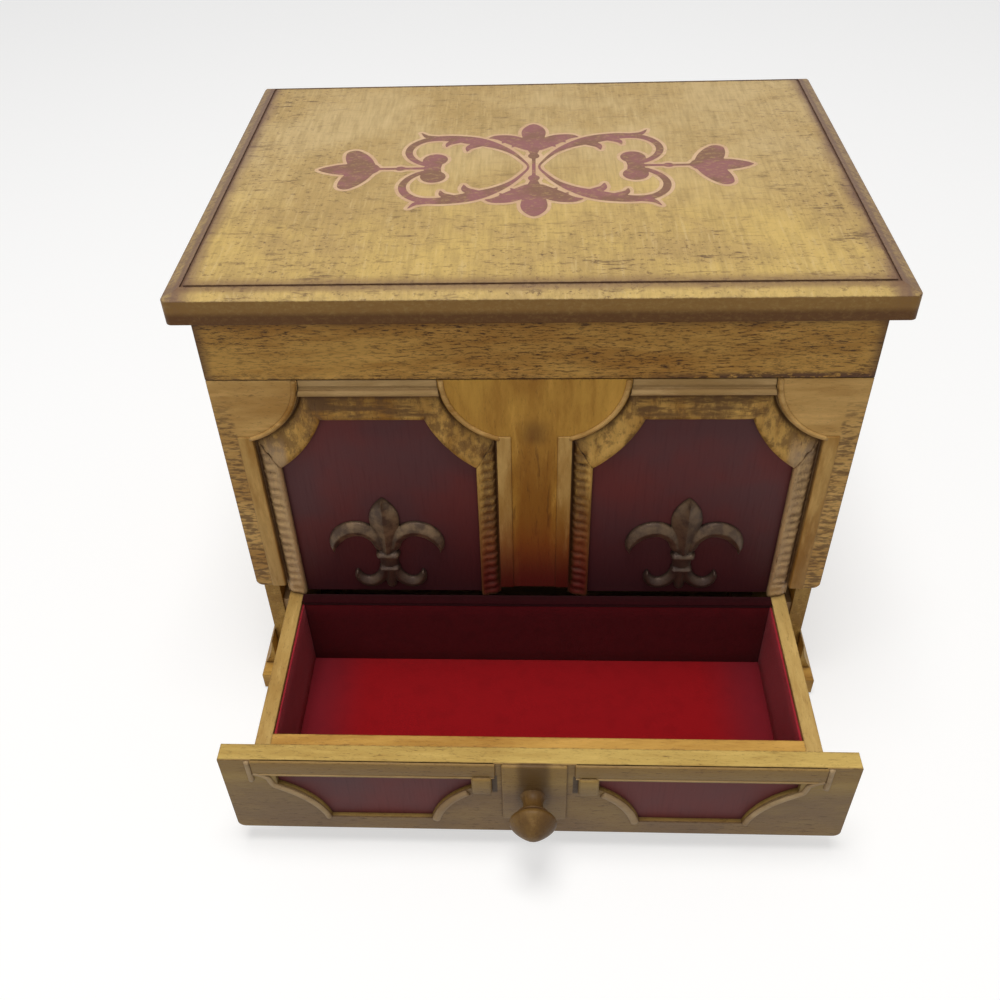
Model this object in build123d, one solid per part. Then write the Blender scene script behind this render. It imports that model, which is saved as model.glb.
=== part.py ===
from build123d import *
import math
import os

# Musical jewelry box. Millimetres, +Z up, front towards -Y.
# The origin is the middle of the footprint, on the surface that the box stands on.
# The box is modelled with its lid closed and its drawer pulled out to the stops.

os.makedirs("parts", exist_ok=True)

# Case
body_w = 250.0
body_d = 186.0
half_w = body_w / 2
front_y = -body_d / 2
back_y = body_d / 2
felt_foot_t = 1.2
side_t = 7.0
back_t = 5.5
bottom_t = 6.0
front_t = 8.0
backer_t = 4.0
floor_t = 5.0
seam_z = 184.5
inner_half_w = half_w - side_t
front_back_y = front_y + front_t
compartment_front_y = front_back_y + backer_t
back_inner_y = back_y - back_t
bottom_z = felt_foot_t
bottom_top_z = bottom_z + bottom_t

# Base moulding
flare = 6.4
flare_z = 11.0
fascia_round = 0.6
side_flare_top_z = 29.0
front_rail_top_z = 12.6

# Upper front: two arched recesses between two stiles and a post
stile_bottom_z = 68.9
panel_bottom_z = 62.7
panel_x = 63.4
recess_half = 48.5
post_half = panel_x - recess_half
spandrel_r = 31.75
spandrel_offset = 58.4
top_mould_z = 177.2
recess_depth = 3.0
mould_set_back = 0.5
red_half = 39.9
red_top_half = 19.4
red_side_z = 138.8
red_top_z = 164.2
red_hollow_x = 73.4
corner_round = 3.0
ease = 0.15

# Fleur-de-lis
fleur_t = 3.0
fleur_bud_t = 4.2
fleur_bottom_z = 65.0
fleur_x = 64.4

# Lid
seam_gap = 0.4
lid_rail_bottom_z = seam_z + seam_gap
lid_board_z = 214.5
lid_arris_z = 224.2
lid_top_z = 226.6
lid_overhang = 6.8
lid_bevel_w = 6.2
lid_rail_t = 8.0
lid_side_rail_t = 7.0
groove_w = 1.1
groove_depth = 0.7
lid_corner_r = 2.5

# Lid mirror
lining_t = 1.2
mirror_t = 3.0
mirror_half_w = 88.0
mirror_front_y = -60.0
mirror_back_y = 56.0
bead_w = 6.0
bead_lip = 2.0

# Hinges
hinge_y = 95.0
hinge_z = 184.7
knuckle_r = 1.7
hinge_pin_r = 0.85
hinge_x = 80.0
hinge_w = 28.0
knuckle_count = 5
knuckle_gap = 0.3
leaf_t = 1.0
leaf_h = 16.0
leaf_set_off = 2.0
leaf_screw_x = 9.0
leaf_screw_z = 10.0
screw_r = 1.0
screw_head_r = 1.9
screw_head_t = 0.9
slot_w = 0.4

# Lid stay: the pivot on the lid and the pin on the case are as far from the hinge axis
stay_reach = 30.0
stay_lid_angle = 18.0
stay_case_angle = 20.0
stay_open_angle = 95.0
stay_arm_x = 114.6
stay_arm_t = 1.5
stay_half_w = 3.5
stay_tip = 3.8
stay_pin_r = 1.5
stay_pivot_r = 1.2

# Drawer
pull = 85.15
drawer_top_z = 62.3
drawer_front_h = 49.3
drawer_front_t = 7.3
drawer_half_w = 111.35
drawer_side_t = 6.35
drawer_inner_front_t = 4.85
drawer_inner_depth = 69.3
drawer_back_t = 4.0
drawer_tail_y = 19.0
drawer_side_bottom_z = 15.0
drawer_ply_z = 18.0
drawer_ply_t = 3.0
drawer_felt_t = 1.0
drawer_felt_top_z = 60.6
drawer_pocket_depth = 2.8
drawer_red_t = 0.8
drawer_pocket_top_z = 51.3
drawer_pocket_bottom_z = 21.5
drawer_arc_r = 36.0
drawer_arc_offset = 56.0
drawer_arc_z = 13.6
knob_z = 41.0
knob_x = -0.8
knob_screw_r = 2.0

# Drawer runners, guides and stops
runner_in = 100.0
runner_top_z = 14.6
guide_in = 111.75
guide_top_z = 38.5
guide_front_y = -84.0
guide_back_y = 20.0
stop_block_back_y = -72.0
stop_block_top_z = 49.0
peg_r = 2.0
peg_z = 43.0
peg_out = 115.5
stop_gap = 0.3

# Compartment over the drawer
floor_z = 63.0
floor_top_z = floor_z + floor_t
felt_t = 1.0
floor_felt_t = 1.2
wall_felt_top_z = 181.5
partition_y = 21.5
partition_t = 3.0
tray_right_x = -30.0
tray_z = 140.0
tray_t = 3.0
tray_front_y = -79.8
tray_back_y = 86.3
divider_t = 3.0
divider_top_z = 178.0
roll_count = 7
roll_pitch = 23.0
roll_w = 20.0
roll_h = 17.0

# Music movement
bedplate_t = 2.0
bed_left_x = -8.0
bed_right_x = 64.0
bed_front_y = 32.0
bed_back_y = 84.0
bed_top_z = bottom_top_z + bedplate_t
axis_x = 28.0
axis_z = 26.0
cheek_front_y = 33.2
upright_t = 2.0
drum_r = 6.5
drum_front_y = 40.0
drum_back_y = 64.0
drum_pin_r = 0.3
drum_pin_h = 0.9
drum_pins = 54
barrel_r = 10.5
barrel_front_y = 65.0
barrel_back_y = 79.0
back_upright_y = 80.2
front_arbor_r = 1.2
spring_arbor_r = 2.0
running = 0.05
module = 0.4
great_teeth = 60
pinion_teeth = 12
wheel_front_y = 36.5
wheel_t = 1.5
governor_x = 42.0
governor_z = 22.0
governor_wheel_r = 7.0
governor_teeth = 24
governor_arbor_r = 0.6
governor_arbor_front_y = 33.0
governor_arbor_back_y = 48.9
frame_t = 1.5
frame_back_y = 47.2
fly_step_z = 12.7
bridge_top_z = 46.5
fly_r = 6.0
fly_shaft_r = 0.8
worm_r = 1.3
worm_half = 5.0
fly_low_z = 30.0
fly_high_z = 42.0
fly_x = governor_x + governor_wheel_r + worm_r + 0.3
fly_y = 41.5
comb_t = 1.0
comb_teeth = 18
comb_left_x = -4.0
comb_root_x = 2.0
lever_x = 56.0
lever_pivot_y = 68.1
lever_z = 35.0
rod_y = 85.8
rod_r = 0.9
rod_gap = 0.3
rod_guide_y = 84.2
rod_guide_z = 168.0
rod_guide_h = 4.0
lever_tip_y = 49.0
lever_pin_r = 1.0
lever_t = 2.0
key_hub_r = 4.0
key_front_y = 95.4
key_back_y = 104.0


def block(x0, x1, y0, y1, z0, z1):
    """A board between two corners."""
    middle = Pos((x0 + x1) / 2, (y0 + y1) / 2, (z0 + z1) / 2)
    return middle * Box(x1 - x0, y1 - y0, z1 - z0)


def bar_x(x0, x1, y, z, r):
    """A round bar along X."""
    return Pos((x0 + x1) / 2, y, z) * Rot(0, 90, 0) * Cylinder(r, x1 - x0)


def bar_y(x, y0, y1, z, r):
    """A round bar along Y."""
    return Pos(x, (y0 + y1) / 2, z) * Rot(90, 0, 0) * Cylinder(r, y1 - y0)


def bar_z(x, y, z0, z1, r):
    """A round bar along Z."""
    return Pos(x, y, (z0 + z1) / 2) * Cylinder(r, z1 - z0)


def flat_rect(x0, x1, z0, z1):
    """A rectangle drawn in X and Z."""
    return Pos((x0 + x1) / 2, (z0 + z1) / 2) * Rectangle(x1 - x0, z1 - z0)


def flat_circle(x, z, r):
    """A disc drawn in X and Z."""
    return Pos(x, z) * Circle(r)


def plate(outline, y0, y1):
    """A shape drawn in X and Z, made solid from y0 to y1."""
    back = Plane(origin=(0, y1, 0), x_dir=(1, 0, 0), z_dir=(0, -1, 0))
    return extrude(back * outline, amount=y1 - y0)


def along_y(outline, y0, y1):
    """The same as plate, for a closed run of edges."""
    return plate(make_face(outline), y0, y1)


def along_x(outline, x0, x1):
    """A closed run of edges drawn in Y and Z, made solid from x0 to x1."""
    left = Plane(origin=(x0, 0, 0), x_dir=(0, 1, 0), z_dir=(1, 0, 0))
    return extrude(left * make_face(outline), amount=x1 - x0)


def mirrored(shape):
    """The same shape on the other side of the box."""
    return mirror(shape, about=Plane.YZ)


def save(name, *solids):
    """Write one node."""
    shape = solids[0] if len(solids) == 1 else Compound(children=list(solids))
    export_step(shape, f"parts/{name}.step")


def pan_screw_y(x, y_seat, z, depth):
    """A slotted pan-head screw along Y, its head behind y_seat."""
    head = bar_y(x, y_seat, y_seat + screw_head_t, z, screw_head_r)
    slot = block(x - screw_head_r, x + screw_head_r, y_seat + 0.5, y_seat + 2, z - slot_w / 2, z + slot_w / 2)
    return head - slot + bar_y(x, y_seat - depth, y_seat, z, screw_r)


def pan_screw_z(x, y, z_seat, depth):
    """A slotted pan-head screw pointing down, its head on z_seat."""
    head = bar_z(x, y, z_seat, z_seat + screw_head_t, screw_head_r)
    slot = block(x - screw_head_r, x + screw_head_r, y - slot_w / 2, y + slot_w / 2, z_seat + 0.5, z_seat + 2)
    return head - slot + bar_z(x, y, z_seat - depth, z_seat, screw_r)


# Where the screws and shafts go through the wood

hinge_screw_x = [s * hinge_x + d for s in (-1, 1) for d in (-leaf_screw_x, leaf_screw_x)]
case_screw_z = hinge_z - leaf_screw_z
lid_screw_z = hinge_z + leaf_screw_z
hinge_screw_depth = 5.5
bed_screws = [(2.0, 36.0), (2.0, 80.0), (60.0, 36.0), (44.0, 80.0)]
bed_screw_depth = 6.0


def stay_point(angle, up):
    """A point at the stay's reach from the hinge axis, in front of it."""
    turn = math.radians(angle)
    return hinge_y - stay_reach * math.cos(turn), hinge_z + up * stay_reach * math.sin(turn)


stay_pivot_y, stay_pivot_z = stay_point(stay_lid_angle, 1)
stay_pin_y, stay_pin_z = stay_point(stay_case_angle, -1)
stay_closed_span = 2 * stay_reach * math.sin(math.radians((stay_lid_angle + stay_case_angle) / 2))
stay_open_half = (stay_lid_angle + stay_case_angle + stay_open_angle) / 2
stay_open_span = 2 * stay_reach * math.sin(math.radians(stay_open_half))


# Case boards

def case_sides():
    """Two side boards, from the underside to the seam. The right one takes the stay's pin."""
    left = block(-half_w, -inner_half_w, front_back_y, back_y, bottom_z, seam_z)
    pin_hole = bar_x(inner_half_w - 1, inner_half_w + 4, stay_pin_y, stay_pin_z, stay_pin_r)
    save("case_side_boards", left, mirrored(left) - pin_hole)


def case_back():
    """Back board with the hole for the winding shaft."""
    board = block(-inner_half_w, inner_half_w, back_inner_y, back_y, bottom_z, seam_z)
    board -= bar_y(axis_x, back_inner_y - 1, back_y + 1, axis_z, spring_arbor_r + 1.2)
    for x in hinge_screw_x:
        board -= bar_y(x, back_y - hinge_screw_depth + leaf_t, back_y + 1, case_screw_z, screw_r)
    save("case_back_panel", board)


def case_bottom():
    """Bottom board with pilot holes for the movement's screws."""
    board = block(-inner_half_w, inner_half_w, front_back_y, back_inner_y, bottom_z, bottom_top_z)
    for x, y in bed_screws:
        board -= bar_z(x, y, bed_top_z - bed_screw_depth, bottom_top_z + 1, screw_r)
    save("case_bottom_board", board)


def compartment_boards():
    """Floor of the upper compartment, the backing of the front and the wall of the music chamber."""
    floor = block(-inner_half_w, inner_half_w, compartment_front_y, back_inner_y, floor_z, floor_top_z)
    floor -= bar_z(lever_x, rod_y, floor_z - 1, floor_top_z + 1, rod_r + 0.4)
    save("compartment_floor", floor)
    backer = block(-inner_half_w, inner_half_w, front_back_y, compartment_front_y, floor_z, seam_z)
    save("front_backing_board", backer)
    wall = block(-inner_half_w, inner_half_w, partition_y, partition_y + partition_t, bottom_top_z, floor_z)
    save("music_chamber_wall", wall)


# Base moulding

def flare_profile(face, out, top_z):
    """Section of the base moulding: a cove down to a plain fascia. out is -1 or 1."""
    edge = face + out * flare
    foot = (face + out * (flare - fascia_round), bottom_z)
    cove_mid = (face + out * flare * 0.36, flare_z + (side_flare_top_z - flare_z) * 0.46)
    lines = [
        Line((face, bottom_z), foot),
        Line(foot, (edge, bottom_z + fascia_round)),
        Line((edge, bottom_z + fascia_round), (edge, flare_z)),
        ThreePointArc((edge, flare_z), cove_mid, (face, top_z)),
        Line((face, top_z), (face, bottom_z)),
    ]
    return lines


def base_mouldings():
    """Flared mouldings at the front and sides, mitred below the drawer, and a plain back rail."""
    right = along_y(flare_profile(half_w, 1, side_flare_top_z), front_y, back_y)
    low_front = block(0, half_w + flare + 1, front_y - flare - 1, front_back_y, 0, front_rail_top_z + ease)
    right -= low_front
    save("base_side_mouldings", mirrored(right), right)
    wide = half_w + flare
    front = along_x(flare_profile(front_y, -1, side_flare_top_z), -wide, wide)
    ends = along_y(flare_profile(half_w, 1, side_flare_top_z), front_y - flare, front_back_y)
    core = block(-half_w, half_w, front_y - flare, front_back_y, bottom_z, side_flare_top_z)
    across = ends + mirrored(ends) + core
    behind = block(-wide, wide, front_y, front_back_y, bottom_z, side_flare_top_z)
    rail = (front + behind) & across
    rail -= block(-wide, wide, front_y - flare - 1, front_back_y + 1, front_rail_top_z, side_flare_top_z + 1)
    save("base_front_moulding", rail)
    felt_in = 4.0
    felt = block(-wide + felt_in, wide - felt_in, front_y - flare + felt_in, back_y - felt_in, 0, felt_foot_t)
    save("base_felt", felt)


# Upper front

def recess_outline(cx, bottom):
    """Outline of an arched recess: straight sides, two quarter hollows and a flat top."""
    shape = flat_rect(cx - recess_half, cx + recess_half, bottom, top_mould_z)
    for side in (-1, 1):
        shape -= flat_circle(cx + side * spandrel_offset, seam_z, spandrel_r)
    return shape


def red_outline(cx, bottom):
    """The part of a recess that shows red, inside its moulding."""
    hollow_r = math.hypot(red_hollow_x - red_half, seam_z - red_side_z)
    shape = flat_rect(cx - red_half, cx + red_half, bottom, red_top_z)
    for side in (-1, 1):
        shape -= flat_circle(cx + side * red_hollow_x, seam_z, hollow_r)
    return shape


def front_stiles():
    """Outer stiles with their spandrels and the middle post with two more."""
    above = flat_rect(-half_w, half_w, stile_bottom_z, seam_z)
    band_x = panel_x + recess_half
    hollow = flat_circle(panel_x + spandrel_offset, seam_z, spandrel_r)
    outer = flat_rect(band_x, half_w, stile_bottom_z, seam_z) + (hollow & above)
    corner = [v for v in outer.vertices() if v.X > half_w - 1 and v.Y < stile_bottom_z + 1]
    outer = fillet(corner, corner_round)
    right = plate(outer, front_y, front_back_y)
    save("front_stiles", mirrored(right), right)
    post = flat_rect(-post_half, post_half, stile_bottom_z, seam_z)
    for side in (-1, 1):
        inner = flat_circle(side * (panel_x - spandrel_offset), seam_z, spandrel_r)
        post += inner & above
    save("front_centre_post", plate(post, front_y, front_back_y))


def top_moulding(cx):
    """A straight moulding over a recess, between the spandrels."""
    band = flat_rect(cx - recess_half, cx + recess_half, top_mould_z + ease, seam_z)
    for side in (-1, 1):
        band -= flat_circle(cx + side * spandrel_offset, seam_z, spandrel_r + ease)
    return plate(band, front_y + mould_set_back, front_back_y)


def recess_panels():
    """A red panel, an arched moulding and a top moulding in each recess."""
    red_y = front_y + recess_depth
    reds = []
    arches = []
    for cx in (-panel_x, panel_x):
        outline = recess_outline(cx, panel_bottom_z)
        reds.append(plate(outline, red_y, front_back_y))
        arches.append(plate(outline - red_outline(cx, panel_bottom_z), front_y + mould_set_back, red_y))
    save("front_red_panels", *reds)
    save("front_mouldings", *arches, *[top_moulding(cx) for cx in (-panel_x, panel_x)])


def fleur_outline(cx, base):
    """Outline of the side petals, the band, the curls and the stem."""
    shape = flat_rect(cx - 3.4, cx + 3.4, base + 6, base + 30)
    shape += flat_rect(cx - 2.2, cx + 2.2, base, base + 8)
    for z in (13.0, 21.0):
        shape += flat_rect(cx - 5.2, cx + 5.2, base + z - 1.5, base + z + 1.5)
    for side in (-1, 1):
        petal = flat_circle(cx + side * 12.6, base + 28.3, 11.2)
        petal -= flat_circle(cx + side * 12.2, base + 24.6, 9.0)
        petal -= flat_rect(cx - 26, cx + 26, base + 10, base + 24.5)
        curl = flat_circle(cx + side * 9.0, base + 8.4, 6.9)
        curl -= flat_circle(cx + side * 9.2, base + 10.6, 5.2)
        curl -= flat_rect(cx - 20, cx + 20, base + 11.5, base + 20)
        shape += petal + curl
    return shape


def fleurs():
    """A cast fleur-de-lis on each red panel."""
    bud_half = 6.7
    bud_height = 15.0
    bud_r = (bud_height ** 2 + bud_half ** 2) / (2 * bud_half)
    red_y = front_y + recess_depth
    pair = []
    for cx in (-fleur_x, fleur_x):
        body = plate(fleur_outline(cx, fleur_bottom_z), red_y - fleur_t, red_y)
        lens = flat_circle(cx - bud_r + bud_half, fleur_bottom_z + 41, bud_r)
        lens &= flat_circle(cx + bud_r - bud_half, fleur_bottom_z + 41, bud_r)
        pair.append(body + plate(lens, red_y - fleur_bud_t, red_y))
    save("fleurs_de_lis", *pair)


# Lid

def lid_board():
    """Top board with a bevelled edge and a groove cut round its field."""
    wide = half_w + lid_overhang
    front = front_y - lid_overhang
    side_view = [
        (front, lid_board_z), (back_y, lid_board_z), (back_y, lid_arris_z),
        (back_y - lid_bevel_w, lid_top_z), (front + lid_bevel_w, lid_top_z), (front, lid_arris_z),
    ]
    end_view = [
        (-wide, lid_board_z), (wide, lid_board_z), (wide, lid_arris_z),
        (wide - lid_bevel_w, lid_top_z), (-wide + lid_bevel_w, lid_top_z), (-wide, lid_arris_z),
    ]
    along = along_x(Polyline(*side_view, close=True), -wide, wide)
    across = along_y(Polyline(*end_view, close=True), front, back_y)
    middle_y = (front + back_y) / 2
    plan = Pos(0, middle_y) * RectangleRounded(2 * wide, back_y - front, lid_corner_r)
    board = along & across & extrude(Pos(0, 0, lid_board_z) * plan, amount=lid_top_z - lid_board_z)
    in_x = wide - lid_bevel_w
    in_front = front + lid_bevel_w
    in_back = back_y - lid_bevel_w
    low = lid_top_z - groove_depth
    ring = block(-in_x, in_x, in_front, in_back, low, lid_top_z + 1)
    ring -= block(-in_x + groove_w, in_x - groove_w, in_front + groove_w, in_back - groove_w, low - 1, lid_top_z + 2)
    save("lid_top_board", board - ring)


def lid_rails():
    """Four rails under the lid board. The right one takes the stay's rivet, the back one the hinges."""
    low, high = lid_rail_bottom_z, lid_board_z
    save("lid_front_rail", block(-half_w, half_w, front_y, front_y + lid_rail_t, low, high))
    back = block(-half_w, half_w, back_y - lid_rail_t, back_y, low, high)
    for x in hinge_screw_x:
        back -= bar_y(x, back_y - hinge_screw_depth + leaf_t, back_y + 1, lid_screw_z, screw_r)
    save("lid_back_rail", back)
    left = block(-half_w, -half_w + lid_side_rail_t, front_y + lid_rail_t, back_y - lid_rail_t, low, high)
    rivet = bar_x(inner_half_w - 1, inner_half_w + 4, stay_pivot_y, stay_pivot_z, stay_pivot_r)
    save("lid_side_rails", left, mirrored(left) - rivet)


def lid_mirror():
    """Felt under the lid, a mirror on it and a rebated wooden bead round the mirror."""
    felt_low = lid_board_z - lining_t
    lining = block(
        -inner_half_w + ease, inner_half_w - ease, front_y + lid_rail_t + ease,
        back_y - lid_rail_t - ease, felt_low, lid_board_z)
    save("lid_lining", lining)
    glass_low = felt_low - mirror_t
    save("lid_mirror", block(-mirror_half_w, mirror_half_w, mirror_front_y, mirror_back_y, glass_low, felt_low))
    low = glass_low - bead_lip
    strips = []
    for side in (-1, 1):
        outer = sorted((side * mirror_half_w, side * (mirror_half_w + bead_w)))
        lip = sorted((side * (mirror_half_w - bead_lip), side * mirror_half_w))
        long = (mirror_front_y - bead_w, mirror_back_y + bead_w)
        strips.append(block(*outer, *long, low, felt_low) + block(*lip, mirror_front_y, mirror_back_y, low, glass_low))
    in_x = mirror_half_w - bead_lip
    front = block(-mirror_half_w, mirror_half_w, mirror_front_y - bead_w, mirror_front_y, low, felt_low)
    front += block(-in_x, in_x, mirror_front_y, mirror_front_y + bead_lip, low, glass_low)
    back = block(-mirror_half_w, mirror_half_w, mirror_back_y, mirror_back_y + bead_w, low, felt_low)
    back += block(-in_x, in_x, mirror_back_y - bead_lip, mirror_back_y, low, glass_low)
    save("mirror_bead", *strips, front, back)


# Hinges

def hinge_leaf(cx, up):
    """One leaf with its knuckles. up is 1 for the lid's leaf and -1 for the case's."""
    near = hinge_z + up * leaf_set_off
    far = hinge_z + up * (leaf_set_off + leaf_h)
    low, high = sorted((near, far))
    leaf = block(cx - hinge_w / 2, cx + hinge_w / 2, back_y, back_y + leaf_t, low, high)
    step = hinge_w / knuckle_count
    for i in range(knuckle_count):
        if (i % 2 == 0) == (up < 0):
            x0 = cx - hinge_w / 2 + i * step + knuckle_gap / 2
            x1 = x0 + step - knuckle_gap
            link_low, link_high = sorted((hinge_z, near))
            leaf += block(x0, x1, back_y, back_y + leaf_t, link_low, link_high)
            leaf += block(x0, x1, back_y, hinge_y, link_low, link_high) & bar_x(x0, x1, hinge_y, hinge_z, 2.0)
            leaf += bar_x(x0, x1, hinge_y, hinge_z, knuckle_r)
    leaf -= bar_x(cx - hinge_w, cx + hinge_w, hinge_y, hinge_z, hinge_pin_r + (running if up > 0 else 0))
    for d in (-leaf_screw_x, leaf_screw_x):
        leaf -= bar_y(cx + d, back_y - 1, back_y + 3, hinge_z + up * leaf_screw_z, screw_r)
    return leaf


def hinges():
    """Two knuckle hinges on the back, their pins and their screws."""
    save("hinge_case_leaves", *[hinge_leaf(cx, -1) for cx in (-hinge_x, hinge_x)])
    save("hinge_lid_leaves", *[hinge_leaf(cx, 1) for cx in (-hinge_x, hinge_x)])
    over = hinge_w / 2 + 0.3
    save("hinge_pins", *[bar_x(cx - over, cx + over, hinge_y, hinge_z, hinge_pin_r) for cx in (-hinge_x, hinge_x)])
    seat = back_y + leaf_t
    case_screws = [pan_screw_y(x, seat, case_screw_z, hinge_screw_depth) for x in hinge_screw_x]
    lid_screws = [pan_screw_y(x, seat, lid_screw_z, hinge_screw_depth) for x in hinge_screw_x]
    save("hinge_case_screws", *case_screws)
    save("hinge_lid_screws", *lid_screws)


# Lid stay

def lid_stay():
    """Slotted arm on a rivet in the lid's right rail, guided by a shouldered pin in the case."""
    clear = stay_pin_r + 0.3
    x0, x1 = stay_arm_x, stay_arm_x + stay_arm_t
    length = stay_open_span + clear + stay_tip
    drop = 5.0
    low_z = stay_pivot_z - length
    arm = block(x0, x1, stay_pivot_y - stay_half_w, stay_pivot_y + stay_half_w, low_z + drop, stay_pivot_z)
    arm += bar_x(x0, x1, stay_pivot_y, stay_pivot_z, stay_half_w)
    arm += bar_x(x0, x1, stay_pivot_y, low_z + drop, stay_half_w)
    slot_top = stay_pivot_z - stay_closed_span + 0.3
    slot_bottom = stay_pivot_z - stay_open_span - 0.3
    arm -= block(x0 - 1, x1 + 1, stay_pivot_y - clear, stay_pivot_y + clear, slot_bottom, slot_top)
    arm -= bar_x(x0 - 1, x1 + 1, stay_pivot_y, slot_top, clear)
    arm -= bar_x(x0 - 1, x1 + 1, stay_pivot_y, slot_bottom, clear)
    arm -= bar_x(x0 - 1, x1 + 1, stay_pivot_y, stay_pivot_z, stay_pivot_r + running)
    lean = math.degrees(math.atan2(stay_pin_y - stay_pivot_y, stay_pivot_z - stay_pin_z))
    turn_about = Axis((0, stay_pivot_y, stay_pivot_z), (1, 0, 0))
    save("lid_stay_arm", arm.rotate(turn_about, lean))
    head_gap = 0.3
    head_t = 1.0
    rivet = bar_x(x0 - head_gap, inner_half_w + 4, stay_pivot_y, stay_pivot_z, stay_pivot_r)
    rivet += bar_x(x0 - head_gap - head_t, x0 - head_gap, stay_pivot_y, stay_pivot_z, 2.4)
    rivet += bar_x(x1 + head_gap, inner_half_w, stay_pivot_y, stay_pivot_z, 2.2)
    save("stay_rivet", rivet)
    pin = bar_x(x0 - head_gap, inner_half_w + 4, stay_pin_y, stay_pin_z, stay_pin_r)
    pin += bar_x(x0 - head_gap - head_t, x0 - head_gap, stay_pin_y, stay_pin_z, 2.9)
    pin += bar_x(x1 + head_gap, inner_half_w - felt_t, stay_pin_y, stay_pin_z, 2.6)
    save("stay_guide_pin", pin)


# Compartment linings and the ring tray

def linings():
    """Felt on the floor and walls of the upper compartment."""
    low = floor_top_z + floor_felt_t
    carpet = block(-inner_half_w, inner_half_w, compartment_front_y, back_inner_y, floor_top_z, low)
    save("compartment_floor_felt", carpet - bar_z(lever_x, rod_y, floor_top_z - 1, low + 1, rod_r + 0.4))
    left = block(-inner_half_w, -inner_half_w + felt_t, compartment_front_y, back_inner_y, low, wall_felt_top_z)
    right = mirrored(left) - bar_x(inner_half_w - 2, inner_half_w + 1, stay_pin_y, stay_pin_z, stay_pin_r)
    in_x = inner_half_w - felt_t
    front = block(-in_x, in_x, compartment_front_y, compartment_front_y + felt_t, low, wall_felt_top_z)
    bracket_clear = 5.7
    back_left = block(-in_x, lever_x - bracket_clear, back_inner_y - felt_t, back_inner_y, low, wall_felt_top_z)
    back_right = block(lever_x + bracket_clear, in_x, back_inner_y - felt_t, back_inner_y, low, wall_felt_top_z)
    save("compartment_wall_felt", left, right, front, back_left, back_right)


def ring_roll(y):
    """One padded ring roll: flat below, crowned above, drawn in at both ends."""
    left = -inner_half_w + felt_t + 0.3
    right = tray_right_x - 0.3
    base = tray_z + tray_t
    end_scale = 0.86
    bulge_in = 7.0
    sections = []
    for x, scale in ((left, end_scale), (left + bulge_in, 1.0), (right - bulge_in, 1.0), (right, end_scale)):
        half = roll_w / 2 * scale
        top = base + roll_h * scale
        shoulder = base + roll_h * 0.45
        seat = half * 0.8
        lines = [
            Line((y - seat, base), (y + seat, base)),
            ThreePointArc((y + seat, base), (y + half, (base + shoulder) / 2 + 1), (y + half * 0.93, shoulder + 3)),
            ThreePointArc((y + half * 0.93, shoulder + 3), (y, top), (y - half * 0.93, shoulder + 3)),
            ThreePointArc((y - half * 0.93, shoulder + 3), (y - half, (base + shoulder) / 2 + 1), (y - seat, base)),
        ]
        plane = Plane(origin=(x, 0, 0), x_dir=(0, 1, 0), z_dir=(1, 0, 0))
        sections.append(plane * make_face(lines))
    return loft(sections, ruled=True)


def ring_tray():
    """A shelf on the left with padded ring rolls, its ledges and the divider that carries it."""
    in_x = -inner_half_w + felt_t
    shelf = block(in_x, tray_right_x, tray_front_y, tray_back_y, tray_z, tray_z + tray_t)
    save("ring_tray_shelf", shelf)
    ledge_h = 4.0
    ledge_w = 5.0
    left_ledge = block(in_x, in_x + ledge_w, tray_front_y, tray_back_y, tray_z - ledge_h, tray_z)
    right_ledge = block(tray_right_x - ledge_w, tray_right_x, tray_front_y, tray_back_y, tray_z - ledge_h, tray_z)
    low = floor_top_z + floor_felt_t
    divider = block(tray_right_x, tray_right_x + divider_t, tray_front_y, tray_back_y, low, divider_top_z)
    save("ring_tray_supports", left_ledge, right_ledge, divider)
    middle = (tray_front_y + tray_back_y) / 2
    first = middle - roll_pitch * (roll_count - 1) / 2
    save("ring_rolls", *[ring_roll(first + i * roll_pitch) for i in range(roll_count)])


# Drawer

def drawer_pocket(cx):
    """Outline of a red recess in the drawer front, with two quarter hollows below."""
    shape = flat_rect(cx - red_half, cx + red_half, drawer_pocket_bottom_z, drawer_pocket_top_z)
    for side in (-1, 1):
        shape -= flat_circle(cx + side * drawer_arc_offset, drawer_arc_z, drawer_arc_r)
    return shape


def out(shape):
    """Move a drawer piece from its closed place to its stops."""
    return Pos(0, -pull, 0) * shape


def drawer_front():
    """Front board with rounded lower corners, two pockets and the red panels in them."""
    low = drawer_top_z - drawer_front_h
    face = flat_rect(-half_w, half_w, low, drawer_top_z)
    corners = [v for v in face.vertices() if v.Y < low + 1]
    board = plate(fillet(corners, corner_round), front_y, front_y + drawer_front_t)
    pocket_back = front_y + drawer_pocket_depth
    reds = []
    for cx in (-panel_x, panel_x):
        outline = drawer_pocket(cx)
        board -= plate(outline, front_y - 1, pocket_back)
        reds.append(out(plate(outline, pocket_back - drawer_red_t, pocket_back)))
    board -= bar_y(knob_x, front_y - 1, front_y + drawer_front_t + 1, knob_z, knob_screw_r)
    save("drawer_front", out(board))
    save("drawer_red_panels", *reds)


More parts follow.
